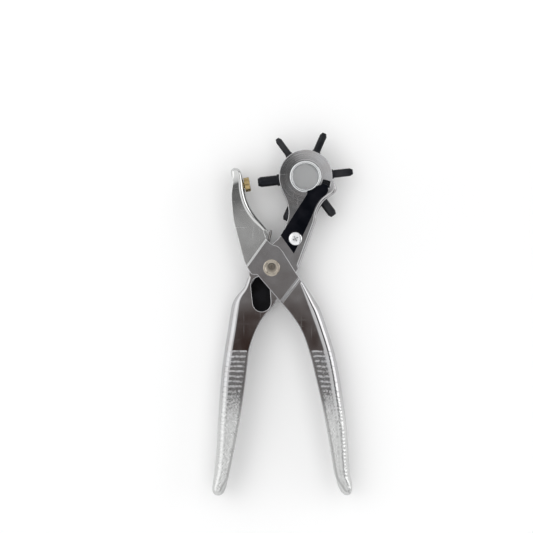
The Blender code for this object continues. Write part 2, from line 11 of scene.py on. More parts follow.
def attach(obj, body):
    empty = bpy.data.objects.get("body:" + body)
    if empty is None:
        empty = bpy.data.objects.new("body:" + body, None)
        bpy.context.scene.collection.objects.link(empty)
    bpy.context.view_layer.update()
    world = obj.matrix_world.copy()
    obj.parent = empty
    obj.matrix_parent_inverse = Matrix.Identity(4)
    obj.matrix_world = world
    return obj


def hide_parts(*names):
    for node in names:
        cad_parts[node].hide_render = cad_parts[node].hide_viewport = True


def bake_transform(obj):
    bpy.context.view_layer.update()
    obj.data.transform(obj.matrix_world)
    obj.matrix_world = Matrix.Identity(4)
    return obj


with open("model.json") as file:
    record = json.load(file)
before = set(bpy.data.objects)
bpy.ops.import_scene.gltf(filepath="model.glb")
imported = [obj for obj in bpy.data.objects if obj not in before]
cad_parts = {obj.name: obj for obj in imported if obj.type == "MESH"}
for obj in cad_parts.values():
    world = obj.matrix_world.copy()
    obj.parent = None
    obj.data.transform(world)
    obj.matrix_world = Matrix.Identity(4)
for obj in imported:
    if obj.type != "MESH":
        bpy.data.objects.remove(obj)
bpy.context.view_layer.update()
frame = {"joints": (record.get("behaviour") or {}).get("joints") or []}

MM = 0.001
JOINTS = {joint["name"]: joint for joint in frame["joints"]}
GAP = 0.3

# Sheet metal, as in the CAD
SHEET = 1.6
INSIDE = 1    # material index of a sheet's inner face
CHEEK = 7.3    # mid plane to the outer face of a cheek
CRANK = SHEET + GAP    # outward joggle of the anvil lever's pivot cheeks
MID = JOINTS["jaw_pivot"]["pos_m"][2] / MM
UPPER_BEND = (12.9, 144.2, 1.3)    # joggle above the pivot: distance, direction, length of the slope
LOWER_BEND = (17.3, -37.7, 2.6)
EDGE_R = 0.5    # rounding of the sheet's cut edges
BEND_STEPS = 10
WEB_STEPS = 8
JOGGLE_STEPS = 10
OUTLINE_STEP = 1.2

# Grip
GRIP_TOP = -49.0    # the grid of the grip starts here
GRIP_ROWS = 300
GRIP_COLUMNS = 20
RIB_TOP = -54.3    # first rib
RIB_PITCH = 3.25
RIB_HEIGHT = 0.14
RIB_WIDTH = 0.27
RIB_WAVER = 0.6    # how far a rib strays from its line
RIBS_FADE = (74.0, 104.0)    # the ribs give way to dimples between these distances below the pivot
DIMPLE_PITCH = (1.9, 2.5)
DIMPLE_HEIGHT = 0.26
DIMPLE_STRAY = 1.6    # how far the dimples' waves run out of step, in radians
RIM_WIDTH = 1.3    # smooth rim along the grip's inner edge
WEB_SHARE = 0.25    # height of the dimples on the grip's web
WEB_FADE = (90.0, 130.0)    # where they start on the web
GRIP_BOW = 0.03

# Pivot
RIVET_R = 3.0
RIVET_HEAD_R = 5.6
PEEN_R = 4.6
PEEN_T = 1.3
WASHER_R = 6.4
WASHER_T = 0.8
BUSH_WALL = 0.9

# Wheel
WHEEL = tuple(c / MM for c in JOINTS["wheel_spin"]["pos_m"][:2])
HEAD_R = 17.5
HEAD_ARC_DEG = (-6.0, 172.0)
HUB_R = 16.5
HUB_HALF = 5.3
AXLE_BORE_R = 8.2
AXLE_WALL = 0.9
AXLE_FLANGE_R = 10.3
AXLE_FLANGE_T = 0.7
TUBE_COUNT = 6
FIRST_TUBE_DEG = 186.4
TUBE_TIP_R = 31.2
TUBE_WALL = 1.1
TUBE_BORES = (4.5, 2.0, 2.5, 3.0, 3.5, 4.0)
TUBE_SHANK_R = 2.5
TUBE_FOOT_R = 11.0
GROOVE_DEG = -21.0
GROOVE_R = 11.2    # inner end of a groove
GROOVE_W = 3.2
GROOVE_DEPTH = 1.9

# Anvil pad, index spring, its screw, and the return spring
PAD_FACE = (-14.1, 54.7)
PAD_DEG = 10.0
PAD_R = 4.7
PAD_T = 3.6
PAD_STEM_R = 2.0
PAD_MARKS = (3.6, 2.7, 1.8, 0.9)
LEAF_T = 0.8
LEAF_EDGE_R = 0.22
SCREW = (15.4, 18.9)
SCREW_R = 1.6
SCREW_HEAD_R = 4.4
SCREW_HEAD_H = 2.0
RECESS = (0.42, 2.3)    # half width and length of an arm of the cross
RECESS_DEPTH = 1.5
RECESS_DEG = 28.0
NUT_R = 3.5
NUT_T = 2.4
WIRE_R = 0.8
COIL_R = 6.0
COIL_PITCH = 1.95
COIL_TURNS = 3
LEG_STEPS = 12
LEG_UP = (-0.2, 24.6)
LEG_DOWN = (-18.2, -17.9)

# Lever outlines run anticlockwise, on the outside of the sheet. An edge run holds (x, y). A bent run
# holds (x, y, bend radius), and the bend angle where it isn't 90 degrees: "web" joins the cheeks,
# "lip" turns each cheek's edge in, and "tab" is the web alone.
ANVIL_LEVER = [
    ("edge", [(-25.3, 55.6), (-26.1, 50.0), (-26.2, 44.0), (-25.1, 32.4), (-23.1, 23.9),
              (-20.2, 12.9), (-17.7, 3.8), (-14.7, -1.7)]),
    ("edge", [(-14.7, -1.7), (-13.0, -4.2), (-9.4, -4.6)]),
    ("edge", [(-9.4, -4.6), (4.2, -20.4)]),
    ("edge", [(4.2, -20.4), (13.1, -30.9), (20.0, -42.1), (25.4, -57.6), (30.7, -79.4),
              (34.6, -97.0), (38.0, -115.0), (40.8, -132.5), (42.2, -138.0)]),
    ("lip", [(42.2, -138.0, 2.4, 0), (43.2, -142.2, 2.4, 60), (45.2, -145.9, 2.4)]),
    ("web", [(45.2, -145.9, 2.4), (47.8, -147.9, 2.4), (50.7, -147.8, 2.6),
             (52.4, -145.2, 3.2), (52.4, -141.0, 4.4), (51.4, -136.0, 6.0), (50.6, -127.0, 6.8),
             (49.9, -115.0, 6.8), (48.4, -98.0, 6.8), (44.3, -70.7, 6.8),
             (40.8, -54.3, 6.8), (36.5, -40.4, 6.8), (31.9, -27.5, 6.8),
             (28.2, -21.0, 5.6), (24.0, -14.6, 3.8), (20.9, -10.2, 2.4)]),
    ("lip", [(20.9, -10.2, 2.4), (20.2, -9.2, 2.4, 50), (19.5, -8.3, 2.4, 0)]),
    ("edge", [(19.5, -8.3), (16.2, -3.7)]),
    ("edge", [(16.2, -3.7), (9.7, 6.8), (6.2, 12.2), (3.7, 14.2), (0.7, 15.2), (-2.3, 17.7),
              (-4.2, 21.2), (-4.9, 23.6)]),
    ("tab", [(-1.5, 23.0, 2.3), (-3.5, 25.4, 2.3)]),
    ("web", [(-3.5, 25.4, 2.3), (-6.4, 29.1, 3.0), (-10.1, 33.5, 3.6),
             (-13.8, 39.1, 3.8), (-16.1, 44.6, 3.8), (-17.5, 50.5, 3.8),
             (-18.3, 55.6, 3.4), (-19.4, 60.9, 2.6), (-21.2, 64.2, 2.3),
             (-24.2, 65.2, 2.3)]),
    ("lip", [(-24.2, 65.2, 2.3), (-26.5, 63.6, 2.3, 80), (-26.3, 60.0, 2.3, 60),
             (-25.5, 57.2, 2.3, 0)]),
]
PUNCH_LEVER = [
    ("edge", [(5.0, 61.5), (4.9, 57.0), (6.8, 50.3), (10.0, 43.0), (11.1, 35.8), (9.8, 29.4),
              (5.9, 21.0), (1.0, 16.1)]),
    ("edge", [(1.0, 16.1), (-5.4, 10.1), (-13.4, -0.9), (-14.7, -2.9), (-14.9, -4.2)]),
    ("lip", [(-14.9, -4.2, 2.2, 0), (-15.3, -5.7, 2.2, 50), (-15.8, -7.3, 2.2)]),
    ("web", [(-15.8, -7.3, 2.2), (-17.9, -12.7, 2.3), (-21.9, -17.3, 3.2),
             (-24.9, -21.8, 4.6), (-26.6, -28.0, 5.3), (-28.3, -39.4, 5.3),
             (-30.7, -54.3, 5.3), (-32.8, -70.7, 5.3), (-34.8, -98.5, 5.3),
             (-35.9, -117.8, 5.3), (-37.1, -131.5, 5.2), (-38.2, -140.0, 4.2),
             (-38.6, -145.2, 3.2), (-36.8, -147.8, 2.6), (-33.6, -148.2, 2.4),
             (-31.2, -146.6, 2.4)]),
    ("lip", [(-31.2, -146.6, 2.4), (-29.4, -142.9, 2.4, 60), (-28.3, -137.8, 2.4, 0)]),
    ("edge", [(-28.3, -137.8), (-26.9, -131.5), (-24.9, -121.5), (-20.3, -97.0), (-16.6, -70.7),
              (-14.6, -54.1), (-12.0, -45.3), (-9.6, -39.4), (-5.6, -32.5), (0.8, -25.0)]),
    ("edge", [(0.8, -25.0), (2.6, -22.4), (3.7, -19.8), (5.2, -16.6)]),
    ("edge", [(5.2, -16.6), (15.6, -3.2)]),
    ("edge", [(15.6, -3.2), (17.4, -0.8)]),
    ("lip", [(17.4, -0.8, 2.6, 0), (18.2, 0.6, 2.6, 50), (18.9, 2.2, 2.6)]),
    ("web", [(18.9, 2.2, 2.6), (23.7, 15.2, 2.6), (27.1, 24.4, 2.6)]),
    ("lip", [(27.1, 24.4, 2.6), (29.1, 30.1, 2.6), (30.6, 36.9, 2.6),
             (34.7, 43.7, 2.6), (41.4, 48.9, 2.6), (42.3, 52.6, 2.4, 60),
             (40.4, 56.4, 2.4, 0)]),
]
WINDOW = ((-7.4, -11.8, 6.0), (-6.4, -22.6, 5.8))    # two circles of the oval window
TONGUE_WINDOW = ((11.5, -27.0), (17.0, -26.0), (16.6, -11.0), (11.5, -9.0))    # (r, degrees)

LEAF_RIGHT = [(14.5, 9.2), (21.5, 23.5), (26.8, 35.1), (28.9, 40.4), (31.8, 44.5), (35.1, 47.1),
              (36.8, 50.0)]
LEAF_LEFT = [(22.9, 47.6), (5.9, 21.1)]
LEAF_RING_R = 9.4
LEAF_RING_DEG = (-42.0, -82.0)
TONGUE_R = (12.0, 15.8)
TONGUE_DROP = 4.8
TRACK_R = 11.4    # the hub's front face is lower outside this radius
TRACK_DEPTH = 0.8    # so the leaf's tongue clears it between two grooves
LEAF_RISE = 1.1
LEAF_RISE_FROM = 9.0
LEAF_RISE_TO = 24.0
LEAF_CUT_STEP = 0.5


# ---- plane geometry ----

def polar(radius, degrees, centre=(0.0, 0.0)):
    angle = math.radians(degrees)
    return (centre[0] + radius * math.cos(angle), centre[1] + radius * math.sin(angle))


def arc(radius, start_deg, sweep_deg, steps, centre=(0.0, 0.0)):
    return [polar(radius, start_deg + sweep_deg * i / steps, centre) for i in range(steps + 1)]


def circle(radius, centre, count, start_deg=0.0):
    return arc(radius, start_deg, 360.0, count, centre)[:-1]


def smoothstep(value, low, high):
    t = min(max((value - low) / (high - low), 0.0), 1.0)
    return t * t * (3.0 - 2.0 * t)


def smooth_run(points, step):
    """Points about `step` apart on a Catmull-Rom curve through the given ones."""
    rows = [Vector(p) for p in points]
    rows = [2 * rows[0] - rows[1]] + rows + [2 * rows[-1] - rows[-2]]
    out = []
    for a, b, c, d in zip(rows, rows[1:], rows[2:], rows[3:]):
        count = max(1, round((Vector(c[:2]) - Vector(b[:2])).length / step))
        for i in range(count):
            t = i / count
            out.append(0.5 * (2 * b + (c - a) * t + (2 * a - 5 * b + 4 * c - d) * t * t
                              + (3 * b - a - 3 * c + d) * t ** 3))
    out.append(rows[-2])
    return out


def slot_outline(first, second, steps=16):
    """Outline of the two given circles (x, y, r) and their outer tangents."""
    a = Vector(first[:2])
    b = Vector(second[:2])
    along = b - a
    turn = math.degrees(math.atan2(along.y, along.x))
    lean = math.degrees(math.asin((first[2] - second[2]) / along.length))
    end = arc(second[2], turn - 90 + lean, 180 - 2 * lean, steps, b)
    return end + arc(first[2], turn + 90 - lean, 180 + 2 * lean, steps, a)


def mitre(first, second):
    """Vector that moves a corner so that both its sides move by one along their normals."""
    return (first + second) / max(1.0 + first.dot(second), 0.55)


def inset(points, distance):
    """Move an anticlockwise outline inwards."""
    corners = [Vector(p) for p in points]
    out = []
    for i, point in enumerate(corners):
        before = (point - corners[i - 1]).normalized()
        after = (corners[(i + 1) % len(corners)] - point).normalized()
        out.append(point - mitre(Vector((before.y, -before.x)), Vector((after.y, -after.x))) * distance)
    return out


def soften(points, radius, steps=4, closed=False):
    """Round the corners of an outline, up to the given distance along each side."""
    rows = [Vector(p) for p in points]
    out = []
    for i, point in enumerate(rows):
        if not closed and i in (0, len(rows) - 1):
            out.append(point)
            continue
        before = rows[i - 1] - point
        after = rows[(i + 1) % len(rows)] - point
        start = point + before.normalized() * min(radius, before.length * 0.45)
        end = point + after.normalized() * min(radius, after.length * 0.45)
        for k in range(steps + 1):
            t = k / steps
            out.append(start.lerp(point, t).lerp(point.lerp(end, t), t))
    return out


# ---- meshes ----

def place_object(name, data):
    obj = bpy.data.objects.new(name, data)
    bpy.context.scene.collection.objects.link(obj)
    return obj


def mesh_object(name, bm):
    """Make an object from a bmesh, which is used up."""
    mesh = bpy.data.meshes.new(name)
    bm.to_mesh(mesh)
    bm.free()
    return place_object(name, mesh)


def add_piece(name, bm, materials, node, body, sharp_deg=60.0, sheet=False):
    """Make a piece from a bmesh in millimetres, for a CAD node; it rides on a body if given."""
    bmesh.ops.scale(bm, vec=(MM, MM, MM), verts=bm.verts)
    obj = mesh_object(name, bm)
    for material in materials if isinstance(materials, list) else [materials]:
        obj.data.materials.append(material)
    obj.data.shade_smooth()
    if sheet:
        shade_sheet(obj.data)
    else:
        obj.data.set_sharp_from_angle(angle=math.radians(sharp_deg))
        shading = obj.modifiers.new("Normals", "WEIGHTED_NORMAL")
        shading.keep_sharp = True
    if body:
        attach(obj, body)
    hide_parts(node)
    return obj


def read_values(items, name, width=1, kind=float):
    values = np.empty(len(items) * width, kind)
    items.foreach_get(name, values)
    return values


def shade_sheet(mesh):
    """Flat faces stay flat to their edges, and every rounded edge starts level with them."""
    corners = read_values(mesh.loops, "vertex_index", 1, int)
    sizes = read_values(mesh.polygons, "loop_total", 1, int)
    areas = read_values(mesh.polygons, "area")
    faces = read_values(mesh.polygons, "normal", 3).reshape(-1, 3)
    owner = np.repeat(np.arange(len(sizes)), sizes)
    level = (abs(faces[:, 2]) > 0.99999) * 1e6 + 1.0
    total = np.zeros((len(mesh.vertices), 3))
    np.add.at(total, corners, (faces * (areas * level)[:, None])[owner])
    total /= np.linalg.norm(total, axis=1)[:, None] + 1e-20
    smooth = total[corners]
    hard = (smooth * faces[owner]).sum(axis=1) < math.cos(math.radians(50.0))
    smooth[hard] = faces[owner][hard]
    mesh.normals_split_custom_set(smooth.tolist())


def join_rings(bm, rings):
    """Faces between closed rings of corners; a ring may be one corner many times over."""
    for low, high in zip(rings, rings[1:]):
        for i in range(len(low)):
            j = (i + 1) % len(low)
            corners = list(dict.fromkeys((low[i], low[j], high[j], high[i])))
            if len(corners) > 2:
                bm.faces.new(corners)


def turned(profile, segments, ring=False, place=None):
    """Turn (radius, height) points about Z; a ring's profile closes on itself."""
    bm = bmesh.new()
    rings = []
    for radius, height in profile:
        if radius < 1e-6:
            rings.append([bm.verts.new((0.0, 0.0, height))] * segments)
            continue
        rings.append([bm.verts.new((*polar(radius, 360.0 * i / segments), height))
                      for i in range(segments)])
    join_rings(bm, rings + rings[:1] if ring else rings)
    bmesh.ops.recalc_face_normals(bm, faces=bm.faces)
    if place:
        bmesh.ops.transform(bm, matrix=place, verts=bm.verts)
    return bm


def turned_ring(profile, edge_r, segments, place=None):
    """Turned piece with a hole, its corners rounded."""
    return turned(soften(profile, edge_r, closed=True), segments, ring=True, place=place)


def prism(outline, low, high, taper=1.0):
    """Straight prism on a plan outline, or a tapered one that narrows to its lower end."""
    bm = bmesh.new()
    floor = [bm.verts.new((x, y, low)) for x, y in outline]
    grown = bmesh.ops.extrude_face_region(bm, geom=[bm.faces.new(floor)])
    moved = [g for g in grown["geom"] if isinstance(g, bmesh.types.BMVert)]
    bmesh.ops.translate(bm, vec=(0.0, 0.0, high - low), verts=moved)
    middle = sum((v.co for v in floor), Vector()) / len(floor)
    for vert in floor:
        vert.co = middle + (vert.co - middle) * taper
    bmesh.ops.recalc_face_normals(bm, faces=bm.faces)
    return bm


def combine(bm, cutters, operation="DIFFERENCE"):
    """The bmesh after exact booleans with the cutters, which are used up."""
    temporary = [mesh_object("temporary", source) for source in [bm] + cutters]
    target = temporary[0]
    for cutter in temporary[1:]:
        knife = target.modifiers.new("Knife", "BOOLEAN")
        knife.operation = operation
        knife.solver = "EXACT"
        knife.object = cutter
    result = bmesh.new()
    result.from_object(target, bpy.context.evaluated_depsgraph_get())
    for obj in temporary:
        mesh = obj.data
        bpy.data.objects.remove(obj, do_unlink=True)
        bpy.data.meshes.remove(mesh)
    return result


def fill_plan(bm, rings):
    """Flat faces between an outline and its holes; gives their corners, in order, and the faces."""
    rings = [[Vector((p[0], p[1], 0.0)) for p in ring] for ring in rings]
    verts = [bm.verts.new(p) for ring in rings for p in ring]
    faces = [bm.faces.new([verts[i] for i in tri]) for tri in tessellate_polygon(rings)]
    return verts, faces


def slice_faces(bm, faces, place, direction):
    """Cut flat faces along a line through a place, square to a direction; gives all the faces."""
    edges = {e for f in faces for e in f.edges}
    corners = {v for f in faces for v in f.verts}
    cut = bmesh.ops.bisect_plane(bm, geom=list(corners) + list(edges) + faces, dist=1e-4,
                                 plane_co=(*place, 0.0), plane_no=(*direction, 0.0))
    return [g for g in cut["geom"] if isinstance(g, bmesh.types.BMFace)]


def face_front(bm, above):
    """Turn all faces one way, with the largest face above this height looking to the front."""
    bmesh.ops.recalc_face_normals(bm, faces=bm.faces)
    high = [f for f in bm.faces if f.calc_center_median().z > above]
    if max(high, key=lambda f: f.calc_area()).normal.z < 0:
        bmesh.ops.reverse_faces(bm, faces=bm.faces)


def along_x(x, y, z, degrees):
    """Placement that turns a piece's own Z axis to a direction in the XY plane."""
    return (Matrix.Translation((x, y, z)) @ Matrix.Rotation(math.radians(degrees), 4, "Z")
            @ Matrix.Rotation(math.radians(90), 4, "Y"))


AT_WHEEL = Matrix.Translation((*WHEEL, 0.0))
AT_SCREW = Matrix.Translation((*SCREW, 0.0))
AT_PAD = along_x(*PAD_FACE, MID, PAD_DEG)


def thicken(base, thickness, edge_r, relief, steps=3):
    """Closed sheet from a one-sided skin: outer face, inner face and a rounded rim at free edges."""
    base.normal_update()
    bm = bmesh.new()
    outer = {v: bm.verts.new(v.co + v.normal * relief(v)) for v in base.verts}
    inner = {v: bm.verts.new(v.co - v.normal * thickness) for v in base.verts}
    for face in base.faces:
        bm.faces.new([outer[v] for v in face.verts])
        bm.faces.new([inner[v] for v in reversed(face.verts)]).material_index = INSIDE
    sides = {}
    loops = [e.link_loops[0] for e in base.edges if len(e.link_loops) == 1]
    for loop in loops:
        first = loop.vert
        second = loop.link_loop_next.vert
        side = (second.co - first.co).normalized().cross(loop.face.normal)
        sides.setdefault(first, []).append(side)
        sides.setdefault(second, []).append(side)
    turns = [math.radians(90.0 * i / steps) for i in range(1, steps + 1)]
    levels = [(edge_r * math.sin(t), edge_r * (1.0 - math.cos(t))) for t in turns]
    levels += [(reach, thickness - depth) for reach, depth in reversed(levels)]
    rims = {}
    for vert, found in sides.items():
        out = mitre(found[0], found[-1])
        rims[vert] = [outer[vert]]
        for reach, depth in levels:
            rims[vert].append(bm.verts.new(vert.co + out * reach - vert.normal * depth))
        rims[vert].append(inner[vert])
    for loop in loops:
        first = rims[loop.vert]
        second = rims[loop.link_loop_next.vert]
        for i in range(len(first) - 1):
            bm.faces.new((second[i], first[i], first[i + 1], second[i + 1]))
    base.free()
    return bm


# ---- pressed levers ----

def crank_lift(x, y):
    """Outward shift of the anvil lever's cheek: full between the two joggles."""
    lift = CRANK
    for distance, degrees, run in (UPPER_BEND, LOWER_BEND):
        angle = math.radians(degrees)
        past = x * math.cos(angle) + y * math.sin(angle) - distance
        lift = min(lift, CRANK * (1.0 - smoothstep(past, 0.0, run)))
    return lift


class Spot:
    """A place on a lever's outline: nominal point, outward normal and the sheet's bend there."""

    def __init__(self, point, normal, radius, degrees, kind):
        self.point = Vector(point)
        self.normal = normal
        self.radius = radius
        self.degrees = degrees
        self.kind = kind

    def place(self, fraction):
        """Plan position, and drop below the cheek's face, after this fraction of the bend."""
        angle = math.radians(self.degrees)
        turn = angle * fraction
        reach = self.radius * (math.sin(turn) - math.sin(angle)) - EDGE_R * math.cos(angle)
        depth = min(self.radius, CHEEK - 1.0) * (1.0 - math.cos(turn))
        return self.point + self.normal * reach, depth

    def flat(self):
        return self.place(0.0)[0]


def blend_spots(a, b, t):
    return Spot(a.point.lerp(b.point, t), a.normal.lerp(b.normal, t),
                a.radius + (b.radius - a.radius) * t, a.degrees + (b.degrees - a.degrees) * t, a.kind)


def run_spots(kind, points):
    rows = []
    for point in points:
        missing = (0.0, 0.0) if kind == "edge" else (90.0,) * (4 - len(point))
        rows.append((*point, *missing))
    rows = smooth_run(rows, OUTLINE_STEP)
    spots = []
    for i, row in enumerate(rows):
        before = rows[max(i - 1, 0)]
        after = rows[min(i + 1, len(rows) - 1)]
        along = Vector((after[0] - before[0], after[1] - before[1])).normalized()
        spots.append(Spot(row[:2], Vector((along.y, -along.x)), row[2], min(row[3], 90.0), kind))
    spots[-1].kind = "edge"
    return spots


def outline_spots(outline):
    """All spots round a lever, without the tab, and the tab's own spots."""
    runs = [run_spots(kind, points) for kind, points in outline]
    for i, run in enumerate(runs):
        following = runs[(i + 1) % len(runs)]
        if (run[-1].point - following[0].point).length < 0.05:
            following[0].normal = mitre(run[-1].normal, following[0].normal)
            run[-1] = following[0]
    path = []
    tab = []
    for (kind, _), run in zip(outline, runs):
        if kind == "tab":
            tab = run
            continue
        for spot in run:
            if not path or spot is not path[-1]:
                path.append(spot)
    if path[0] is path[-1]:
        path.pop()
    return path, tab


def resample(spots, count):
    """The same stretch of outline in small steps at the ribs, and longer ones towards the tip."""
    lengths = [0.0]
    for a, b in zip(spots, spots[1:]):
        lengths.append(lengths[-1] + (b.point - a.point).length)
    out = []
    i = 0
    for k in range(count + 1):
        share = k / count
        target = lengths[-1] * share * (0.65 + 0.35 * share * share)
        while i < len(spots) - 2 and lengths[i + 1] < target:
            i += 1
        t = (target - lengths[i]) / max(lengths[i + 1] - lengths[i], 1e-9)
        out.append(blend_spots(spots[i], spots[i + 1], min(max(t, 0.0), 1.0)))
    return out


def crossing(a, b):
    """Where the outline crosses the top of the grip, between two spots."""
    ya = a.flat().y
    yb = b.flat().y
    return blend_spots(a, b, (GRIP_TOP - ya) / (yb - ya))


def split_grip(path):
    """The outline above the grip, and the grip's two sides from its top to its tip."""
    low = min(range(len(path)), key=lambda i: path[i].flat().y)
    path = path[low:] + path[:low]
    count = len(path)
    up = next(i for i in range(count) if path[i].flat().y > GRIP_TOP)
    down = next(i for i in range(count - 1, 0, -1) if path[i].flat().y > GRIP_TOP)
    rising = path[:up] + [crossing(path[up - 1], path[up])]
    falling = [crossing(path[down], path[down + 1])] + path[down + 1:] + [path[0]]
    upper = path[up:down + 1]
    return upper, resample(falling, GRIP_ROWS), resample(rising[::-1], GRIP_ROWS)


def add_cheek(bm, rings, joggled, side):
    """One flat cheek with its holes, cut into strips where a joggle will bend it."""
    faces = fill_plan(bm, rings)[1]
    for distance, degrees, run in (UPPER_BEND, LOWER_BEND) if joggled else ():
        for step in range(JOGGLE_STEPS + 1):
            place = polar(distance + run * step / JOGGLE_STEPS, degrees)
            faces = slice_faces(bm, faces, place, polar(1.0, degrees))
    for vert in {v for f in faces for v in f.verts}:
        vert.co.z = MID + side * CHEEK


def add_grid(bm, rows):
    """Quads between rows of (x, y, z) places."""
    grid = [[bm.verts.new(p) for p in row] for row in rows]
    for a, b in zip(grid, grid[1:]):
        for i in range(len(a) - 1):
            bm.faces.new((a[i], a[i + 1], b[i + 1], b[i]))


def bend_column(spot, side):
    column = []
    for i in range(BEND_STEPS + 1):
        place, depth = spot.place(i / BEND_STEPS)
        column.append((place.x, place.y, MID + side * (CHEEK - depth)))
    return column


def web_column(spot):
    place, depth = spot.place(1.0)
    half = CHEEK - depth
    return [(place.x, place.y, MID + half - 2.0 * half * i / WEB_STEPS) for i in range(WEB_STEPS + 1)]


def add_bends(bm, spots):
    for a, b in zip(spots, spots[1:]):
        if a.kind in ("lip", "web"):
            for side in (1, -1):
                add_grid(bm, [bend_column(a, side), bend_column(b, side)])
        if a.kind in ("tab", "web"):
            add_grid(bm, [web_column(a), web_column(b)])


def grip_row(a, b):
    """Points across the grip between two spots, on a slightly bowed line."""
    start = a.flat()
    end = b.flat()
    bow = Vector((0.0, (end - start).length * GRIP_BOW))
    return [start.lerp(end, i / GRIP_COLUMNS) + bow * math.sin(math.pi * i / GRIP_COLUMNS)
            for i in range(GRIP_COLUMNS + 1)]


def add_grip(bm, inner, outer):
    """Both cheeks of the grip as a grid, between matching spots on its two sides."""
    for side in (1, -1):
        rows = [[(p.x, p.y, MID + side * CHEEK) for p in grip_row(a, b)] for a, b in zip(inner, outer)]
        add_grid(bm, rows)


def edge_distance(x, y, edge):
    """Distance to the grip's inner edge, level with this place."""
    for a, b in zip(edge, edge[1:]):
        if b.y <= y <= a.y and a.y > b.y:
            level = b.x + (a.x - b.x) * (y - b.y) / (a.y - b.y)
            return abs(x - level)
    return 0.0


def rib_height(x, y, seed):
    """Cross ribs that waver, and are higher in some places than in others."""
    waver = RIB_WAVER * noise.noise(Vector((x / 4.0, y / 7.0, seed)))
    phase = ((RIB_TOP - y + waver) / RIB_PITCH + 0.5) % 1.0 - 0.5
    rib = RIB_HEIGHT * math.exp(-(phase * RIB_PITCH / RIB_WIDTH) ** 2)
    return rib * (0.85 + 1.3 * noise.noise(Vector((x / 1.3, y / 1.3, seed + 5.0))))


def dimple_height(x, y, z, seed):
    """Dimples on a strayed grid, half of them made of fine grain."""
    shift = DIMPLE_STRAY * noise.noise(Vector((x / 4.0, y / 4.0, z / 4.0 + seed)))
    across = math.cos(2 * math.pi * (x + z) / DIMPLE_PITCH[0] + shift)
    down = math.cos(2 * math.pi * y / DIMPLE_PITCH[1] + shift * 1.4)
    grain = noise.noise(Vector((x, y, z + seed)) / 0.9)
    return DIMPLE_HEIGHT * (0.6 * across * down + 0.6 * grain)


def grip_relief(vert, edge, seed):
    """Height of the grip's pattern: cross ribs at the top, which break up into dimples."""
    x, y, z = vert.co
    if y > RIB_TOP + RIB_PITCH:
        return 0.0
    share = 0.2 + 0.8 * smoothstep(-y, *RIBS_FADE)
    start = smoothstep(RIB_TOP + 0.7 - y, 0.0, 0.5)
    rim = smoothstep(edge_distance(x, y, edge), RIM_WIDTH * 0.7, RIM_WIDTH * 1.3)
    facing = smoothstep(abs(vert.normal.z), 0.25, 0.8)
    rim = max(rim, 1.0 - smoothstep(abs(vert.normal.z), 0.9, 0.99))
    web = WEB_SHARE * smoothstep(-y, *WEB_FADE)
    ribs = (1.0 - share) * rib_height(x, y, seed) * facing
    return start * rim * (ribs + share * dimple_height(x, y, z, seed) * max(facing, web))


def pressed_lever(outline, front_holes, rear_holes, joggled, seed):
    """A lever bent from one sheet: two cheeks, bent edges, webs and a patterned grip."""
    path, tab = outline_spots(outline)
    upper, falling, rising = split_grip(path)
    loop = []
    for point in [s.flat() for s in upper] + grip_row(falling[0], rising[0]):
        if not loop or (point - loop[-1]).length > 0.01:
            loop.append(point)
    bm = bmesh.new()
    add_cheek(bm, [loop] + front_holes, joggled, 1)
    add_cheek(bm, [loop] + rear_holes, joggled, -1)
    add_grip(bm, falling, rising)
    for run in ([rising[0]] + upper + [falling[0]], falling, rising[::-1], tab):
        add_bends(bm, run)
    bmesh.ops.remove_doubles(bm, verts=bm.verts, dist=6e-3)
    bmesh.ops.dissolve_degenerate(bm, edges=bm.edges, dist=1e-3)
    face_front(bm, MID + CHEEK - 0.1)
    inner_edge = falling if falling[GRIP_ROWS // 2].degrees < 45 else rising
    edge = [s.flat() for s in inner_edge]
    sheet = thicken(bm, SHEET, EDGE_R, lambda vert: grip_relief(vert, edge, seed))
    for vert in sheet.verts if joggled else ():
        lift = crank_lift(vert.co.x, vert.co.y)
        vert.co.z += lift if vert.co.z > MID else -lift
    return sheet


def build_levers(materials):
    pivot = circle(RIVET_R + GAP + EDGE_R, (0.0, 0.0), 40)
    sheet = pressed_lever(ANVIL_LEVER, [pivot], [pivot], True, 3.0)
    stem_r = PAD_STEM_R + GAP
    stem = turned([(0, -9), (stem_r, -9), (stem_r, 0), (0, 0)], 40, place=AT_PAD)
    sheet = combine(sheet, [stem])
    add_piece("anvil_lever_sheet", sheet, materials, "anvil_lever", "anvil_side",
              sheet=True)
    first, last = HEAD_ARC_DEG
    head = arc(HEAD_R, first, last - first, 18, WHEEL)
    axle = circle(AXLE_BORE_R + AXLE_WALL + GAP + EDGE_R, WHEEL, 72)
    screw = circle(SCREW_R + GAP + EDGE_R, SCREW, 24)
    oval = slot_outline(*[(x, y, r + EDGE_R) for x, y, r in WINDOW])
    corners = [polar(r, deg, WHEEL) for r, deg in TONGUE_WINDOW]
    tongue = soften(inset(corners, -EDGE_R), 1.2, closed=True)
    front = [pivot, axle, screw, oval, tongue]
    sheet = pressed_lever(PUNCH_LEVER + [("edge", head)], front, [pivot, axle], False, 11.0)
    add_piece("punch_lever_sheet", sheet, materials, "punch_lever", "punch_side",
              sheet=True)


# ---- pivot, wheel and small parts ----

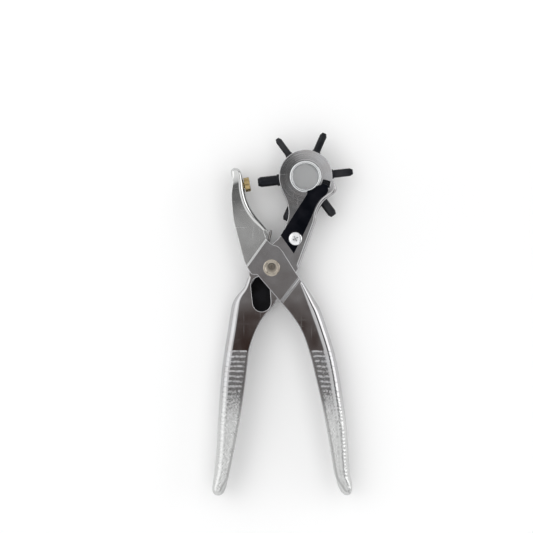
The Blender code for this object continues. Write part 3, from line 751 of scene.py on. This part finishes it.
def build_pivot(nickel, zinc, steel):
    stack = CHEEK + CRANK
    head = MID + stack + GAP
    washer = MID - stack - GAP
    profile = [(0, 0.25), (2.2, 0.25), (2.7, 0), (PEEN_R - 0.7, 0), (PEEN_R, 0.7), (PEEN_R, PEEN_T),
               (RIVET_R, PEEN_T), (RIVET_R, head), (RIVET_HEAD_R, head), (RIVET_HEAD_R, head + 0.9),
               (5.1, head + 1.5), (4.3, head + 1.5), (3.7, head + 0.85), (0, head + 0.7)]
    rivet = turned(soften(profile, 0.35), 96)
    add_piece("pivot_rivet_body", rivet, nickel, "pivot_rivet", "anvil_side")
    flat = [(RIVET_R + GAP, washer - WASHER_T), (WASHER_R, washer - WASHER_T), (WASHER_R, washer),
            (RIVET_R + GAP, washer)]
    disc = turned_ring(flat, 0.25, 96)
    add_piece("rear_washer", disc, zinc, "pivot_washer", "anvil_side")
    inner = RIVET_R + GAP
    half = CHEEK - SHEET - GAP
    sleeve = [(inner, MID - half), (inner + BUSH_WALL, MID - half), (inner + BUSH_WALL, MID + half),
              (inner, MID + half)]
    bush = turned_ring(sleeve, 0.3, 64)
    add_piece("spacer_sleeve", bush, steel, "pivot_bush", "punch_side")


def build_axle(material):
    """Eyelet that holds the wheel: a tube whose ends are rolled over both cheeks."""
    wall = AXLE_BORE_R + AXLE_WALL
    face = CHEEK + GAP
    top = face + AXLE_FLANGE_T
    half = [(wall, face), (AXLE_FLANGE_R - 0.1, face), (AXLE_FLANGE_R, face + 0.3),
            (AXLE_FLANGE_R - 0.3, top - 0.1), (AXLE_BORE_R + 0.8, top), (AXLE_BORE_R + 0.3, top - 0.25),
            (AXLE_BORE_R, top - 0.9)]
    profile = [(r, MID + h) for r, h in half] + [(r, MID - h) for r, h in reversed(half)]
    eyelet = turned_ring(profile, 0.3, 128, AT_WHEEL)
    add_piece("axle_eyelet", eyelet, material, "wheel_axle", "punch_side")


def tube_deg(index):
    return FIRST_TUBE_DEG - index * 360.0 / TUBE_COUNT


def groove_outline(index):
    turn = GROOVE_DEG + index * 360.0 / TUBE_COUNT
    corners = []
    for radius, side in ((GROOVE_R, -1), (HUB_R + 1, -1), (HUB_R + 1, 1), (GROOVE_R, 1)):
        lean = math.degrees(math.atan2(side * GROOVE_W / 2, radius))
        corners.append(polar(radius, turn + lean, WHEEL))
    return soften(corners, 0.7, closed=True)


def build_hub(material):
    """Drum with a seat for each tube in its rim, and a groove between the seats in its front face."""
    inner = AXLE_BORE_R + AXLE_WALL + GAP
    top = MID + HUB_HALF
    track = top - TRACK_DEPTH
    profile = [(inner, MID - HUB_HALF), (HUB_R, MID - HUB_HALF), (HUB_R, track), (TRACK_R, track),
               (TRACK_R, top), (inner, top)]
    drum = turned_ring(profile, 0.35, 96, AT_WHEEL)
    seat_r = TUBE_SHANK_R + GAP
    seat = [(0, inner - 2), (seat_r, inner - 2), (seat_r, HUB_R - 0.45), (seat_r + 0.9, HUB_R + 0.45),
            (seat_r + 0.9, HUB_R + 2), (0, HUB_R + 2)]
    cutters = []
    for i in range(TUBE_COUNT):
        cutters.append(turned(seat, 40, place=along_x(*WHEEL, MID, tube_deg(i))))
        cutters.append(prism(groove_outline(i), top - GROOVE_DEPTH, top + 1.0))
    add_piece("wheel_drum", combine(drum, cutters), material, "wheel_hub", "wheel", 35.0)


def tube_profile(bore_r, collar):
    """Shank in the hub, collar, body and a ground cutting edge, round the bore."""
    body_r = bore_r + TUBE_WALL
    shank_bore = min(bore_r, TUBE_SHANK_R - 0.6)
    return [(TUBE_SHANK_R, TUBE_FOOT_R), (TUBE_SHANK_R, collar), (body_r + 0.5, collar),
            (body_r + 0.5, collar + 1.4), (body_r, collar + 1.9), (body_r, TUBE_TIP_R - 2.0),
            (bore_r + 0.12, TUBE_TIP_R), (bore_r, TUBE_TIP_R), (bore_r, collar + 4.0),
            (shank_bore, collar + 3.0), (shank_bore, TUBE_FOOT_R)]


def build_tubes(material):
    """Six punch tubes, each with a slot in its rear side that lets the slugs out."""
    collar = HUB_R + GAP
    for i, bore in enumerate(TUBE_BORES):
        profile = soften(tube_profile(bore / 2, collar), 0.22, 3, closed=True)
        tube = turned(profile, 56, ring=True, place=along_x(*WHEEL, MID, tube_deg(i)))
        slot_r = bore / 2 * 0.7
        outline = slot_outline((collar + 4.5, 0, slot_r), (TUBE_TIP_R - 4.5, 0, slot_r), 10)
        slug = prism(outline, -6.0, 0.0)
        turn = Matrix.Rotation(math.radians(tube_deg(i)), 4, "Z")
        bmesh.ops.transform(slug, matrix=Matrix.Translation((*WHEEL, MID)) @ turn, verts=slug.verts)
        name = f"{bore:.1f}".replace(".", "_")
        add_piece(f"cutter_{name}", combine(tube, [slug]), material, f"punch_tube_{name}", "wheel",
                  35.0)


def build_pad(material):
    """Brass disc on the anvil jaw, riveted through the web by its stem, with turning marks."""
    shoulder = -PAD_T
    inside = shoulder - SHEET - 2 * GAP
    face = [(PAD_R, shoulder), (PAD_R, -0.4), (PAD_R - 0.4, 0)]
    for radius in PAD_MARKS:
        face += [(radius + 0.16, 0), (radius, -0.08), (radius - 0.16, 0)]
    profile = [(0, inside - 0.9), (3.0, inside - 0.9), (3.0, inside), (PAD_STEM_R, inside),
               (PAD_STEM_R, shoulder)] + face + [(0, 0)]
    disc = turned(soften(profile, 0.2, 3), 80, place=AT_PAD)
    add_piece("anvil_disc", disc, material, "anvil_pad", "anvil_side")


def leaf_lift(x, y):
    """The leaf is flat at the screw, then climbs over the axle's flange."""
    away = math.hypot(x - SCREW[0], y - SCREW[1])
    return LEAF_RISE * smoothstep(away, LEAF_RISE_FROM, LEAF_RISE_TO) if y > SCREW[1] else 0.0


def build_leaf(material):
    """Leaf spring: flat under its screw, a hollow round the axle, and a tongue in the groove."""
    tongue = [polar(radius, GROOVE_DEG, WHEEL) for radius in reversed(TONGUE_R)]
    start, end = LEAF_RING_DEG
    hollow = arc(LEAF_RING_R, start, end - start, 12, WHEEL)
    right = [tuple(p) for p in smooth_run(LEAF_RIGHT, OUTLINE_STEP)]
    loop = inset(right + tongue + hollow + LEAF_LEFT, LEAF_EDGE_R)
    hole = circle(SCREW_R + GAP + LEAF_EDGE_R, SCREW, 24)
    bm = bmesh.new()
    verts, flat = fill_plan(bm, [loop, hole])
    add_tongue(bm, verts[len(right):len(right) + 2])
    climb = (Vector(WHEEL) - Vector(SCREW)).normalized()
    for step in range(32):
        place = Vector(SCREW) + climb * (LEAF_RISE_FROM + LEAF_CUT_STEP * step)
        flat = slice_faces(bm, flat, place, climb)
    face_front(bm, -0.1)
    sheet = thicken(bm, LEAF_T, LEAF_EDGE_R, lambda vert: 0.0)
    for vert in sheet.verts:
        vert.co.z += MID + CHEEK + GAP + LEAF_T + leaf_lift(vert.co.x, vert.co.y)
    add_piece("detent_leaf", sheet, [material, material], "index_spring", "punch_side",
              sheet=True)


def add_tongue(bm, tip, bend_r=0.9):
    """Bend the leaf's end down into the wheel's groove."""
    out = (tip[0].co - tip[1].co).cross(Vector((0, 0, 1))).normalized()
    if out.dot(Vector((*WHEEL, 0.0)) - Vector((*SCREW, 0.0))) < 0:
        out = -out
    for vert in tip:
        vert.co -= out * bend_r
    steps = [(bend_r * math.sin(math.radians(a)), bend_r * (1 - math.cos(math.radians(a))))
             for a in range(15, 91, 15)]
    steps.append((bend_r, TONGUE_DROP - LEAF_EDGE_R))
    row = tip
    for reach, depth in steps:
        lower = [bm.verts.new(v.co + out * reach - Vector((0, 0, depth))) for v in tip]
        bm.faces.new((row[0], row[1], lower[1], lower[0]))
        row = lower


def cross_recess(top):
    """Cutter for the cross recess, which narrows downwards."""
    arm, reach = RECESS
    quarter = [(reach, -arm), (reach, arm), (arm, arm)]
    cross = []
    for i in range(4):
        cross += [tuple(Matrix.Rotation(i * math.pi / 2, 2) @ Vector(p)) for p in quarter]
    recess = prism(soften(cross, 0.14, 3, closed=True), top - RECESS_DEPTH, top + 0.4, 0.45)
    spin = AT_SCREW @ Matrix.Rotation(math.radians(RECESS_DEG), 4, "Z")
    bmesh.ops.transform(recess, matrix=spin, verts=recess.verts)
    return recess


def build_screw(material):
    """Pan head with a cross recess."""
    seat = MID + CHEEK + GAP + LEAF_T + GAP
    top = seat + SCREW_HEAD_H
    dome = [(SCREW_HEAD_R * math.cos(math.radians(a)),
             seat + 0.5 + (SCREW_HEAD_H - 0.5) * math.sin(math.radians(a))) for a in range(0, 90, 6)]
    profile = [(0, MID + 1.5), (SCREW_R - 0.3, MID + 1.5), (SCREW_R, MID + 1.8), (SCREW_R, seat),
               (SCREW_HEAD_R - 0.2, seat)]
    profile += dome + [(0, top)]
    screw = combine(turned(profile, 72, place=AT_SCREW), [cross_recess(top)])
    add_piece("pan_head_screw", screw, material, "index_spring_screw", "punch_side", 35.0)


def build_nut(material):
    """Hexagon nut inside the channel, with chamfered corners."""
    top = MID + CHEEK - SHEET - GAP
    base = top - NUT_T
    hexagon = prism(circle(NUT_R, SCREW, 6, 12.0), base, top)
    face_r = NUT_R * 0.88
    corner_r = NUT_R * 1.02
    chamfer = [(0, base - 0.1), (face_r, base - 0.1), (corner_r, base + 0.4), (corner_r, top - 0.4),
               (face_r, top + 0.1), (0, top + 0.1)]
    shaped = combine(hexagon, [turned(chamfer, 72, place=AT_SCREW)], "INTERSECT")
    bore = SCREW_R + GAP
    hole = [(0, base - 1), (bore, base - 1), (bore, top + 0.5), (0, top + 0.5)]
    nut = combine(shaped, [turned(hole, 48, place=AT_SCREW)])
    add_piece("hexagon_nut", nut, material, "index_spring_nut", "punch_side", 25.0)


def tangent_deg(end, side):
    """Direction of the point where a straight leg from `end` touches the coil."""
    bearing = math.degrees(math.atan2(end[1], end[0]))
    return bearing + side * math.degrees(math.acos(COIL_R / math.hypot(*end)))


def build_return_spring(material):
    """Torsion spring: one leg on the anvil lever's tab, the turns, one leg on the punch web."""
    start = tangent_deg(LEG_UP, 1)
    finish = tangent_deg(LEG_DOWN, -1) % 360.0 + 360.0 * COIL_TURNS
    while finish - start < 360.0 * COIL_TURNS + 180.0:
        finish += 360.0
    top = MID + COIL_PITCH * (finish - start) / 720.0
    steps = round((finish - start) / 9.0)
    points = [(*LEG_UP, top)]
    for i in range(steps + 1):
        degrees = start + (finish - start) * i / steps
        points.append((*polar(COIL_R, degrees), top - COIL_PITCH * (degrees - start) / 360.0))
    level = points[-1][2]
    foot = Vector((*polar(COIL_R, finish), level))
    leg = [foot.lerp(Vector((*LEG_DOWN, level)), i / LEG_STEPS) for i in range(1, LEG_STEPS + 1)]
    spring = add_piece("torsion_wire", wire(points + leg), material, "return_spring", None)
    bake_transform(spring)


def wire(points, sides=16):
    """Round wire along the points, with flat ends that are slightly rounded over."""
    line = [Vector(p) for p in points]
    bm = bmesh.new()
    rings = []
    for i, point in enumerate(line):
        along = (line[min(i + 1, len(line) - 1)] - line[max(i - 1, 0)]).normalized()
        across = along.cross(Vector((0, 0, 1))).normalized()
        up = across.cross(along)
        ends = [(0.0, WIRE_R)]
        if i == 0:
            ends = [(0.0, WIRE_R - 0.25), (0.25, WIRE_R)]
        if i == len(line) - 1:
            ends = [(-0.25, WIRE_R), (0.0, WIRE_R - 0.25)]
        for shift, radius in ends:
            flat = circle(radius, (0.0, 0.0), sides)
            rings.append([bm.verts.new(point + along * shift + across * x + up * y) for x, y in flat])
    join_rings(bm, rings)
    bm.faces.new(rings[0][::-1])
    bm.faces.new(rings[-1])
    bmesh.ops.recalc_face_normals(bm, faces=bm.faces)
    return bm


# ---- materials ----

WAVE = 0.07    # long waves in every metal surface
SCRATCH = 0.002
SCRATCH_DEG = 35.0
GRAIN = 0.03    # fine grain of the grip's end
# painted reflection: whiter tint for the grip's end and the anvil jaw, standing in for the bright light
# they reflect
PAINTED_SHEEN_TINT = (0.6, 0.605, 0.6)
CROWN_DEG = 40.0    # the head bows down towards this side
CROWN_START = 54.0    # from this distance on, past the pivot
CROWN_CURVE = 0.0033    # turn of the surface for each millimetre
TIP_DEG = 110.7    # the anvil jaw's cheek falls away towards its tip
TIP_START = 58.5
TIP_CURVE = 0.018
RING_PITCH = 0.7    # turning marks on the head
RING_DEPTH = 0.02

# Zones of the plating and of the painted reflection: a look sets in between two distances from the
# pivot in a plan direction
DOWN = -90.0
LEFT = 180.0
JAW_FROM = (12.0, 15.0)    # in the direction of the upper joggle
JAW_SIDE = (-2.0, 1.0)    # to the left
JAW_END = (-56.0, -44.0)    # downwards, so the zone fades out below the jaw's tip
JAW_POLISH = (95.0, 30.0, 50.0)    # direction and distances from dull to polished
JAW_DULL = 0.12    # roughness that is added
RIBS_DULL = (53.0, 55.5, 0.08)    # distances below the pivot, and added roughness
GRIP_DULL = (65.0, 105.0, 0.22)
SHANK_DULL = (15.0, 35.0, -0.03)
TIP_SIDE = (5.0, 10.0)    # to the left
# painted reflection: the grip's end is tinted whiter between these distances below the pivot
GRIP_PAINTED_SHEEN_FROM = (68.0, 110.0)
GRAIN_FROM = (75.0, 110.0)


def add_node(tree, kind, inputs=None, **settings):
    """Add a shader node; an input that is a socket is linked, and any other is its value."""
    node = tree.nodes.new("ShaderNode" + kind)
    for key, value in settings.items():
        setattr(node, key, value)
    for key, value in (inputs or {}).items():
        if isinstance(value, bpy.types.NodeSocket):
            tree.links.new(value, node.inputs[key])
        else:
            node.inputs[key].default_value = value
    return node


def remap(tree, value, low, high, to_low=0.0, to_high=1.0, smooth=False):
    places = {"Value": value, "From Min": low, "From Max": high, "To Min": to_low, "To Max": to_high}
    node = add_node(tree, "MapRange", places, interpolation_type="SMOOTHSTEP" if smooth else "LINEAR")
    return node.outputs["Result"]


def calc(tree, operation, first, *others):
    """The values joined one after another by the same kind of maths node."""
    for value in others:
        first = add_node(tree, "Math", {0: first, 1: value}, operation=operation).outputs[0]
    return first


def vector_calc(tree, operation, first, second=(0.0, 0.0, 0.0)):
    return add_node(tree, "VectorMath", {0: first, 1: second}, operation=operation)


def noise_value(tree, coords, size_mm, detail=3.0, stretch=(1.0, 1.0, 1.0), turn=0.0):
    """Noise whose features are about this many millimetres across."""
    scale = tuple(s / (size_mm * MM) for s in stretch)
    mapping = add_node(tree, "Mapping", {"Vector": coords, "Rotation": (0.0, 0.0, math.radians(turn)),
                                         "Scale": scale})
    texture = add_node(tree, "TexNoise", {"Vector": mapping.outputs[0], "Scale": 1.0, "Detail": detail})
    return texture.outputs["Fac"]


def plan_distance(tree, coords, degrees):
    """Distance from the pivot along a plan direction, in metres."""
    axis = (*polar(1.0, degrees), 0.0)
    return vector_calc(tree, "DOT_PRODUCT", coords, axis).outputs["Value"]


def beyond(tree, coords, degrees, start, end):
    """0 to 1 as the surface passes from one distance to another along a plan direction."""
    return remap(tree, plan_distance(tree, coords, degrees), start * MM, end * MM, smooth=True)


def new_material(name):
    material = bpy.data.materials.new(name)
    material.use_nodes = True
    tree = material.node_tree
    coords = add_node(tree, "TexCoord").outputs["Object"]
    return material, tree, tree.nodes["Principled BSDF"], coords


def mix_colour(tree, factor, first, second):
    mix = add_node(tree, "Mix", {"Factor": factor, 6: first, 7: (*second, 1.0)}, data_type="RGBA")
    return mix.outputs[2]


def scratch_lines(tree, coords):
    """Two sets of fine lines that cross each other."""
    drag = noise_value(tree, coords, 1.2, 2.0, (0.05, 1.0, 1.0), SCRATCH_DEG)
    cross = noise_value(tree, coords, 0.9, 2.0, (1.0, 0.04, 1.0), SCRATCH_DEG + 20.0)
    return calc(tree, "MAXIMUM", remap(tree, drag, 0.66, 0.74), remap(tree, cross, 0.68, 0.76))


def metal(name, tint, worn, roughness, spread, spots=0.0, zones=None, swells=None, bright=None):
    """Metal with blotchy tint, uneven polish, fine scratches and slight waves in the surface; where
    given, a painted reflection tints some zones whiter.
    """
    material, tree, shader, coords = new_material(name)
    shader.inputs["Metallic"].default_value = 1.0
    cloud = noise_value(tree, coords, 9.0, 4.0)
    fine = noise_value(tree, coords, 0.9, 3.0)
    lines = scratch_lines(tree, coords)
    wear = calc(tree, "MAXIMUM", remap(tree, cloud, 0.4, 0.75),
                remap(tree, fine, 0.62, 0.75, 0.0, spots))
    colour = mix_colour(tree, wear, (*tint, 1.0), worn)
    # painted reflection: whiter tint in the given zones, standing in for the bright light they reflect
    if bright:
        mask, lit = bright
        colour = mix_colour(tree, mask(tree, coords), colour, lit)
    tree.links.new(colour, shader.inputs["Base Color"])
    polish = remap(tree, cloud, 0.35, 0.7, roughness - spread, roughness + spread)
    polish = calc(tree, "ADD", polish, calc(tree, "MULTIPLY", lines, 0.1))
    if zones:
        polish = calc(tree, "ADD", polish, zones(tree, coords))
    tree.links.new(polish, shader.inputs["Roughness"])
    height = calc(tree, "ADD", calc(tree, "MULTIPLY", noise_value(tree, coords, 16.0, 1.0), WAVE * MM),
                  calc(tree, "MULTIPLY", lines, -SCRATCH * MM))
    if swells:
        height = calc(tree, "ADD", height, swells(tree, coords))
    bump = add_node(tree, "Bump", {"Height": height, "Distance": 1.0, "Strength": 1.0})
    tree.links.new(bump.outputs["Normal"], shader.inputs["Normal"])
    return material


def jaw_zone(tree, coords):
    """The anvil jaw, past the joggle and left of the pivot."""
    return calc(tree, "MULTIPLY", beyond(tree, coords, UPPER_BEND[1], *JAW_FROM),
                beyond(tree, coords, LEFT, *JAW_SIDE))


def chrome_zones(tree, coords):
    """Where the plating is duller or brighter polished: jaw, ribs, grip and shank."""
    blade = calc(tree, "MULTIPLY", jaw_zone(tree, coords), beyond(tree, coords, DOWN, *JAW_END))
    low = remap(tree, beyond(tree, coords, *JAW_POLISH), 0.0, 1.0, JAW_DULL, 0.01)
    jaw = calc(tree, "MULTIPLY", blade, low)
    ribs, grip, shank = [calc(tree, "MULTIPLY", beyond(tree, coords, DOWN, start, end), amount)
                         for start, end, amount in (RIBS_DULL, GRIP_DULL, SHANK_DULL)]
    return calc(tree, "ADD", calc(tree, "MAXIMUM", jaw, grip, ribs), shank)


def painted_sheen_zones(tree, coords):
    """Painted reflection: the end of the grip and the anvil jaw are tinted whiter, standing in for the
    bright light they reflect.
    """
    grip = beyond(tree, coords, DOWN, *GRIP_PAINTED_SHEEN_FROM)
    return calc(tree, "MAXIMUM", grip, jaw_zone(tree, coords))


def brushed_rings(tree, coords):
    """Fine turning marks around the wheel's axle, on the head only."""
    centre = (*[c * MM for c in WHEEL], 0.0)
    away = vector_calc(tree, "SUBTRACT", coords, centre).outputs["Vector"]
    flat = vector_calc(tree, "MULTIPLY", away, (1.0, 1.0, 0.0)).outputs["Vector"]
    radius = vector_calc(tree, "LENGTH", flat).outputs["Value"]
    line = add_node(tree, "TexNoise", {"W": calc(tree, "MULTIPLY", radius, 1.0 / (RING_PITCH * MM)),
                                       "Scale": 1.0, "Detail": 2.0}, noise_dimensions="1D")
    inside = remap(tree, radius, (HEAD_R + 1.0) * MM, (HEAD_R + 5.0) * MM, RING_DEPTH * MM, 0.0, True)
    return calc(tree, "MULTIPLY", line.outputs["Fac"], inside)


def fall_away(tree, coords, degrees, start, curve):
    """Height of a surface that bends down more and more past a distance in a plan direction."""
    past = calc(tree, "SUBTRACT", plan_distance(tree, coords, degrees), start * MM)
    past = calc(tree, "MAXIMUM", past, 0.0)
    return calc(tree, "MULTIPLY", past, past, -curve / (2.0 * MM))


def chrome_swells(tree, coords):
    """The head and the jaw's tip fall away slightly at their outer ends; the grip's end is grained."""
    crown = fall_away(tree, coords, CROWN_DEG, CROWN_START, CROWN_CURVE)
    tip = calc(tree, "MULTIPLY", fall_away(tree, coords, TIP_DEG, TIP_START, TIP_CURVE),
               beyond(tree, coords, LEFT, *TIP_SIDE))
    grain = calc(tree, "MULTIPLY", noise_value(tree, coords, 0.8, 2.0), GRAIN * MM,
                 beyond(tree, coords, DOWN, *GRAIN_FROM))
    return calc(tree, "ADD", crown, tip, grain, brushed_rings(tree, coords))


def build_materials():
    """Tint, worn tint, roughness and its spread for each metal."""
    return {
        # the chrome's whiter grip end and anvil jaw are painted reflection
        "chrome": metal("bright_chrome", (0.47, 0.47, 0.48), (0.43, 0.42, 0.42), 0.09, 0.015,
                        zones=chrome_zones, swells=chrome_swells, bright=(painted_sheen_zones, PAINTED_SHEEN_TINT)),
        # painted shade: the sheets' inner faces are tinted near black, standing in for the shade inside
        # the channels; the roughness is a dull finish
        "inside": metal("dull_inside_painted_shade", (0.016, 0.016, 0.018), (0.01, 0.0095, 0.009), 0.45, 0.1,
                        spots=0.5),
        "eyelet": metal("eyelet_nickel", (0.66, 0.68, 0.69), (0.58, 0.58, 0.58), 0.16, 0.04),
        "nickel": metal("warm_nickel", (0.46, 0.42, 0.36), (0.28, 0.24, 0.20), 0.14, 0.04, spots=0.4),
        "zinc": metal("bright_zinc", (0.78, 0.79, 0.80), (0.62, 0.62, 0.63), 0.2, 0.05, spots=0.3),
        "black": metal("black_oxide", (0.017, 0.018, 0.021), (0.045, 0.045, 0.048), 0.42, 0.08,
                       spots=0.5),
        "blued": metal("blued_spring_steel", (0.005, 0.006, 0.009), (0.014, 0.014, 0.018), 0.34, 0.06),
        "steel": metal("plain_steel", (0.32, 0.32, 0.33), (0.20, 0.18, 0.16), 0.36, 0.08, spots=0.5),
        "brass": metal("turned_brass", (0.42, 0.32, 0.155), (0.22, 0.16, 0.075), 0.26, 0.06, spots=0.3),
    }


# ---- camera, light and floor ----

CAMERA_HEIGHT = 1.219
CAMERA_XY = (-0.0033, 0.00085)
CAMERA_LENS = 124.7
WINDOWS = (("left_window", (-0.9, 0.35, 0.7), 1.2, 1.2), ("right_window", (1.2, 0.35, 0.42), 1.0, 0.6))
WINDOW_POWER = 2.5
FLOOR_HALF = 3.0
FLOOR_TONES = (0.93, 0.97)
DARK_PATCH_LEAN = 0.05
DOME_STRENGTH = 1.08
# Sine of the angle from the dome's top, tone and warmth: dark on top, bright further down
DOME = ((0.0, 0.045, 0.5), (0.02, 0.06, 0.4), (0.05, 0.36, 0.05), (0.07, 0.38, 0.0),
        (0.086, 0.18, 0.0), (0.1, 0.06, 0.0), (0.118, 0.1, 0.0), (0.16, 0.7, 0.0),
        (0.3, 1.0, 0.0), (0.8, 1.05, 0.0), (0.97, 0.75, 0.0))
BAND_RISE = (0.61, 0.65)    # dark band on the right, from one sine to another
BAND_FALL = (0.74, 0.80)
BAND_SHADE = 0.06


def build_camera():
    data = bpy.data.cameras.new("camera")
    data.lens = CAMERA_LENS
    data.clip_start = 0.01
    camera = place_object("camera", data)
    camera.location = (*CAMERA_XY, CAMERA_HEIGHT)
    bpy.context.scene.camera = camera


def dome_colour(tree, split):
    """Tone of the dome, from its sine away from the top."""
    level = add_node(tree, "CombineXYZ", {"X": split.outputs["X"],
                                          "Y": calc(tree, "ADD", split.outputs["Y"], DARK_PATCH_LEAN)})
    away = vector_calc(tree, "LENGTH", level.outputs[0]).outputs["Value"]
    ramp = add_node(tree, "ValToRGB", {"Fac": away})
    elements = ramp.color_ramp.elements
    while len(elements) < len(DOME):
        elements.new(0.5)
    for element, (position, tone, warmth) in zip(elements, DOME):
        element.position = position
        element.color = (tone, tone * (1.0 - warmth), tone * (1.0 - 1.3 * warmth), 1.0)
    return ramp.outputs["Color"]


def build_world():
    """Studio dome: a dark patch nearly overhead, bright all round, and a dark band on the right."""
    world = bpy.data.worlds.new("studio")
    world.use_nodes = True
    tree = world.node_tree
    background = tree.nodes["Background"]
    coords = add_node(tree, "TexCoord").outputs["Generated"]
    split = add_node(tree, "SeparateXYZ", {0: coords})
    band = calc(tree, "MULTIPLY", remap(tree, split.outputs["X"], *BAND_RISE),
                remap(tree, split.outputs["X"], *BAND_FALL, 1.0, 0.0))
    strength = remap(tree, band, 0.0, 1.0, DOME_STRENGTH, DOME_STRENGTH * BAND_SHADE)
    tree.links.new(dome_colour(tree, split), background.inputs["Color"])
    tree.links.new(strength, background.inputs["Strength"])
    bpy.context.scene.world = world


def add_area(name, place, width, height):
    """Light that faces the pivot."""
    data = bpy.data.lights.new(name, "AREA")
    data.shape = "RECTANGLE"
    data.size = width
    data.size_y = height
    data.energy = WINDOW_POWER
    light = place_object(name, data)
    light.location = place
    light.rotation_euler = (-Vector(place)).to_track_quat("-Z", "Y").to_euler()


def build_floor():
    bm = bmesh.new()
    bmesh.ops.create_grid(bm, x_segments=8, y_segments=8, size=FLOOR_HALF)
    floor = mesh_object("floor", bm)
    material, tree, shader, coords = new_material("pale_floor")
    shader.inputs["Roughness"].default_value = 0.6
    tone = remap(tree, noise_value(tree, coords, 300.0, 2.0), 0.3, 0.7, *FLOOR_TONES)
    colour = add_node(tree, "CombineColor", {0: tone, 1: tone, 2: tone})
    tree.links.new(colour.outputs[0], shader.inputs["Base Color"])
    floor.data.materials.append(material)


def build():
    build_camera()
    build_world()
    build_floor()
    for name, place, width, height in WINDOWS:
        add_area(name, place, width, height)
    looks = build_materials()
    build_levers([looks["chrome"], looks["inside"]])
    build_pivot(looks["nickel"], looks["zinc"], looks["steel"])
    build_axle(looks["eyelet"])
    build_hub(looks["black"])
    build_tubes(looks["black"])
    build_pad(looks["brass"])
    build_leaf(looks["blued"])
    build_screw(looks["zinc"])
    build_nut(looks["zinc"])
    build_return_spring(looks["steel"])
    bpy.context.scene.view_settings.view_transform = "Standard"


build()
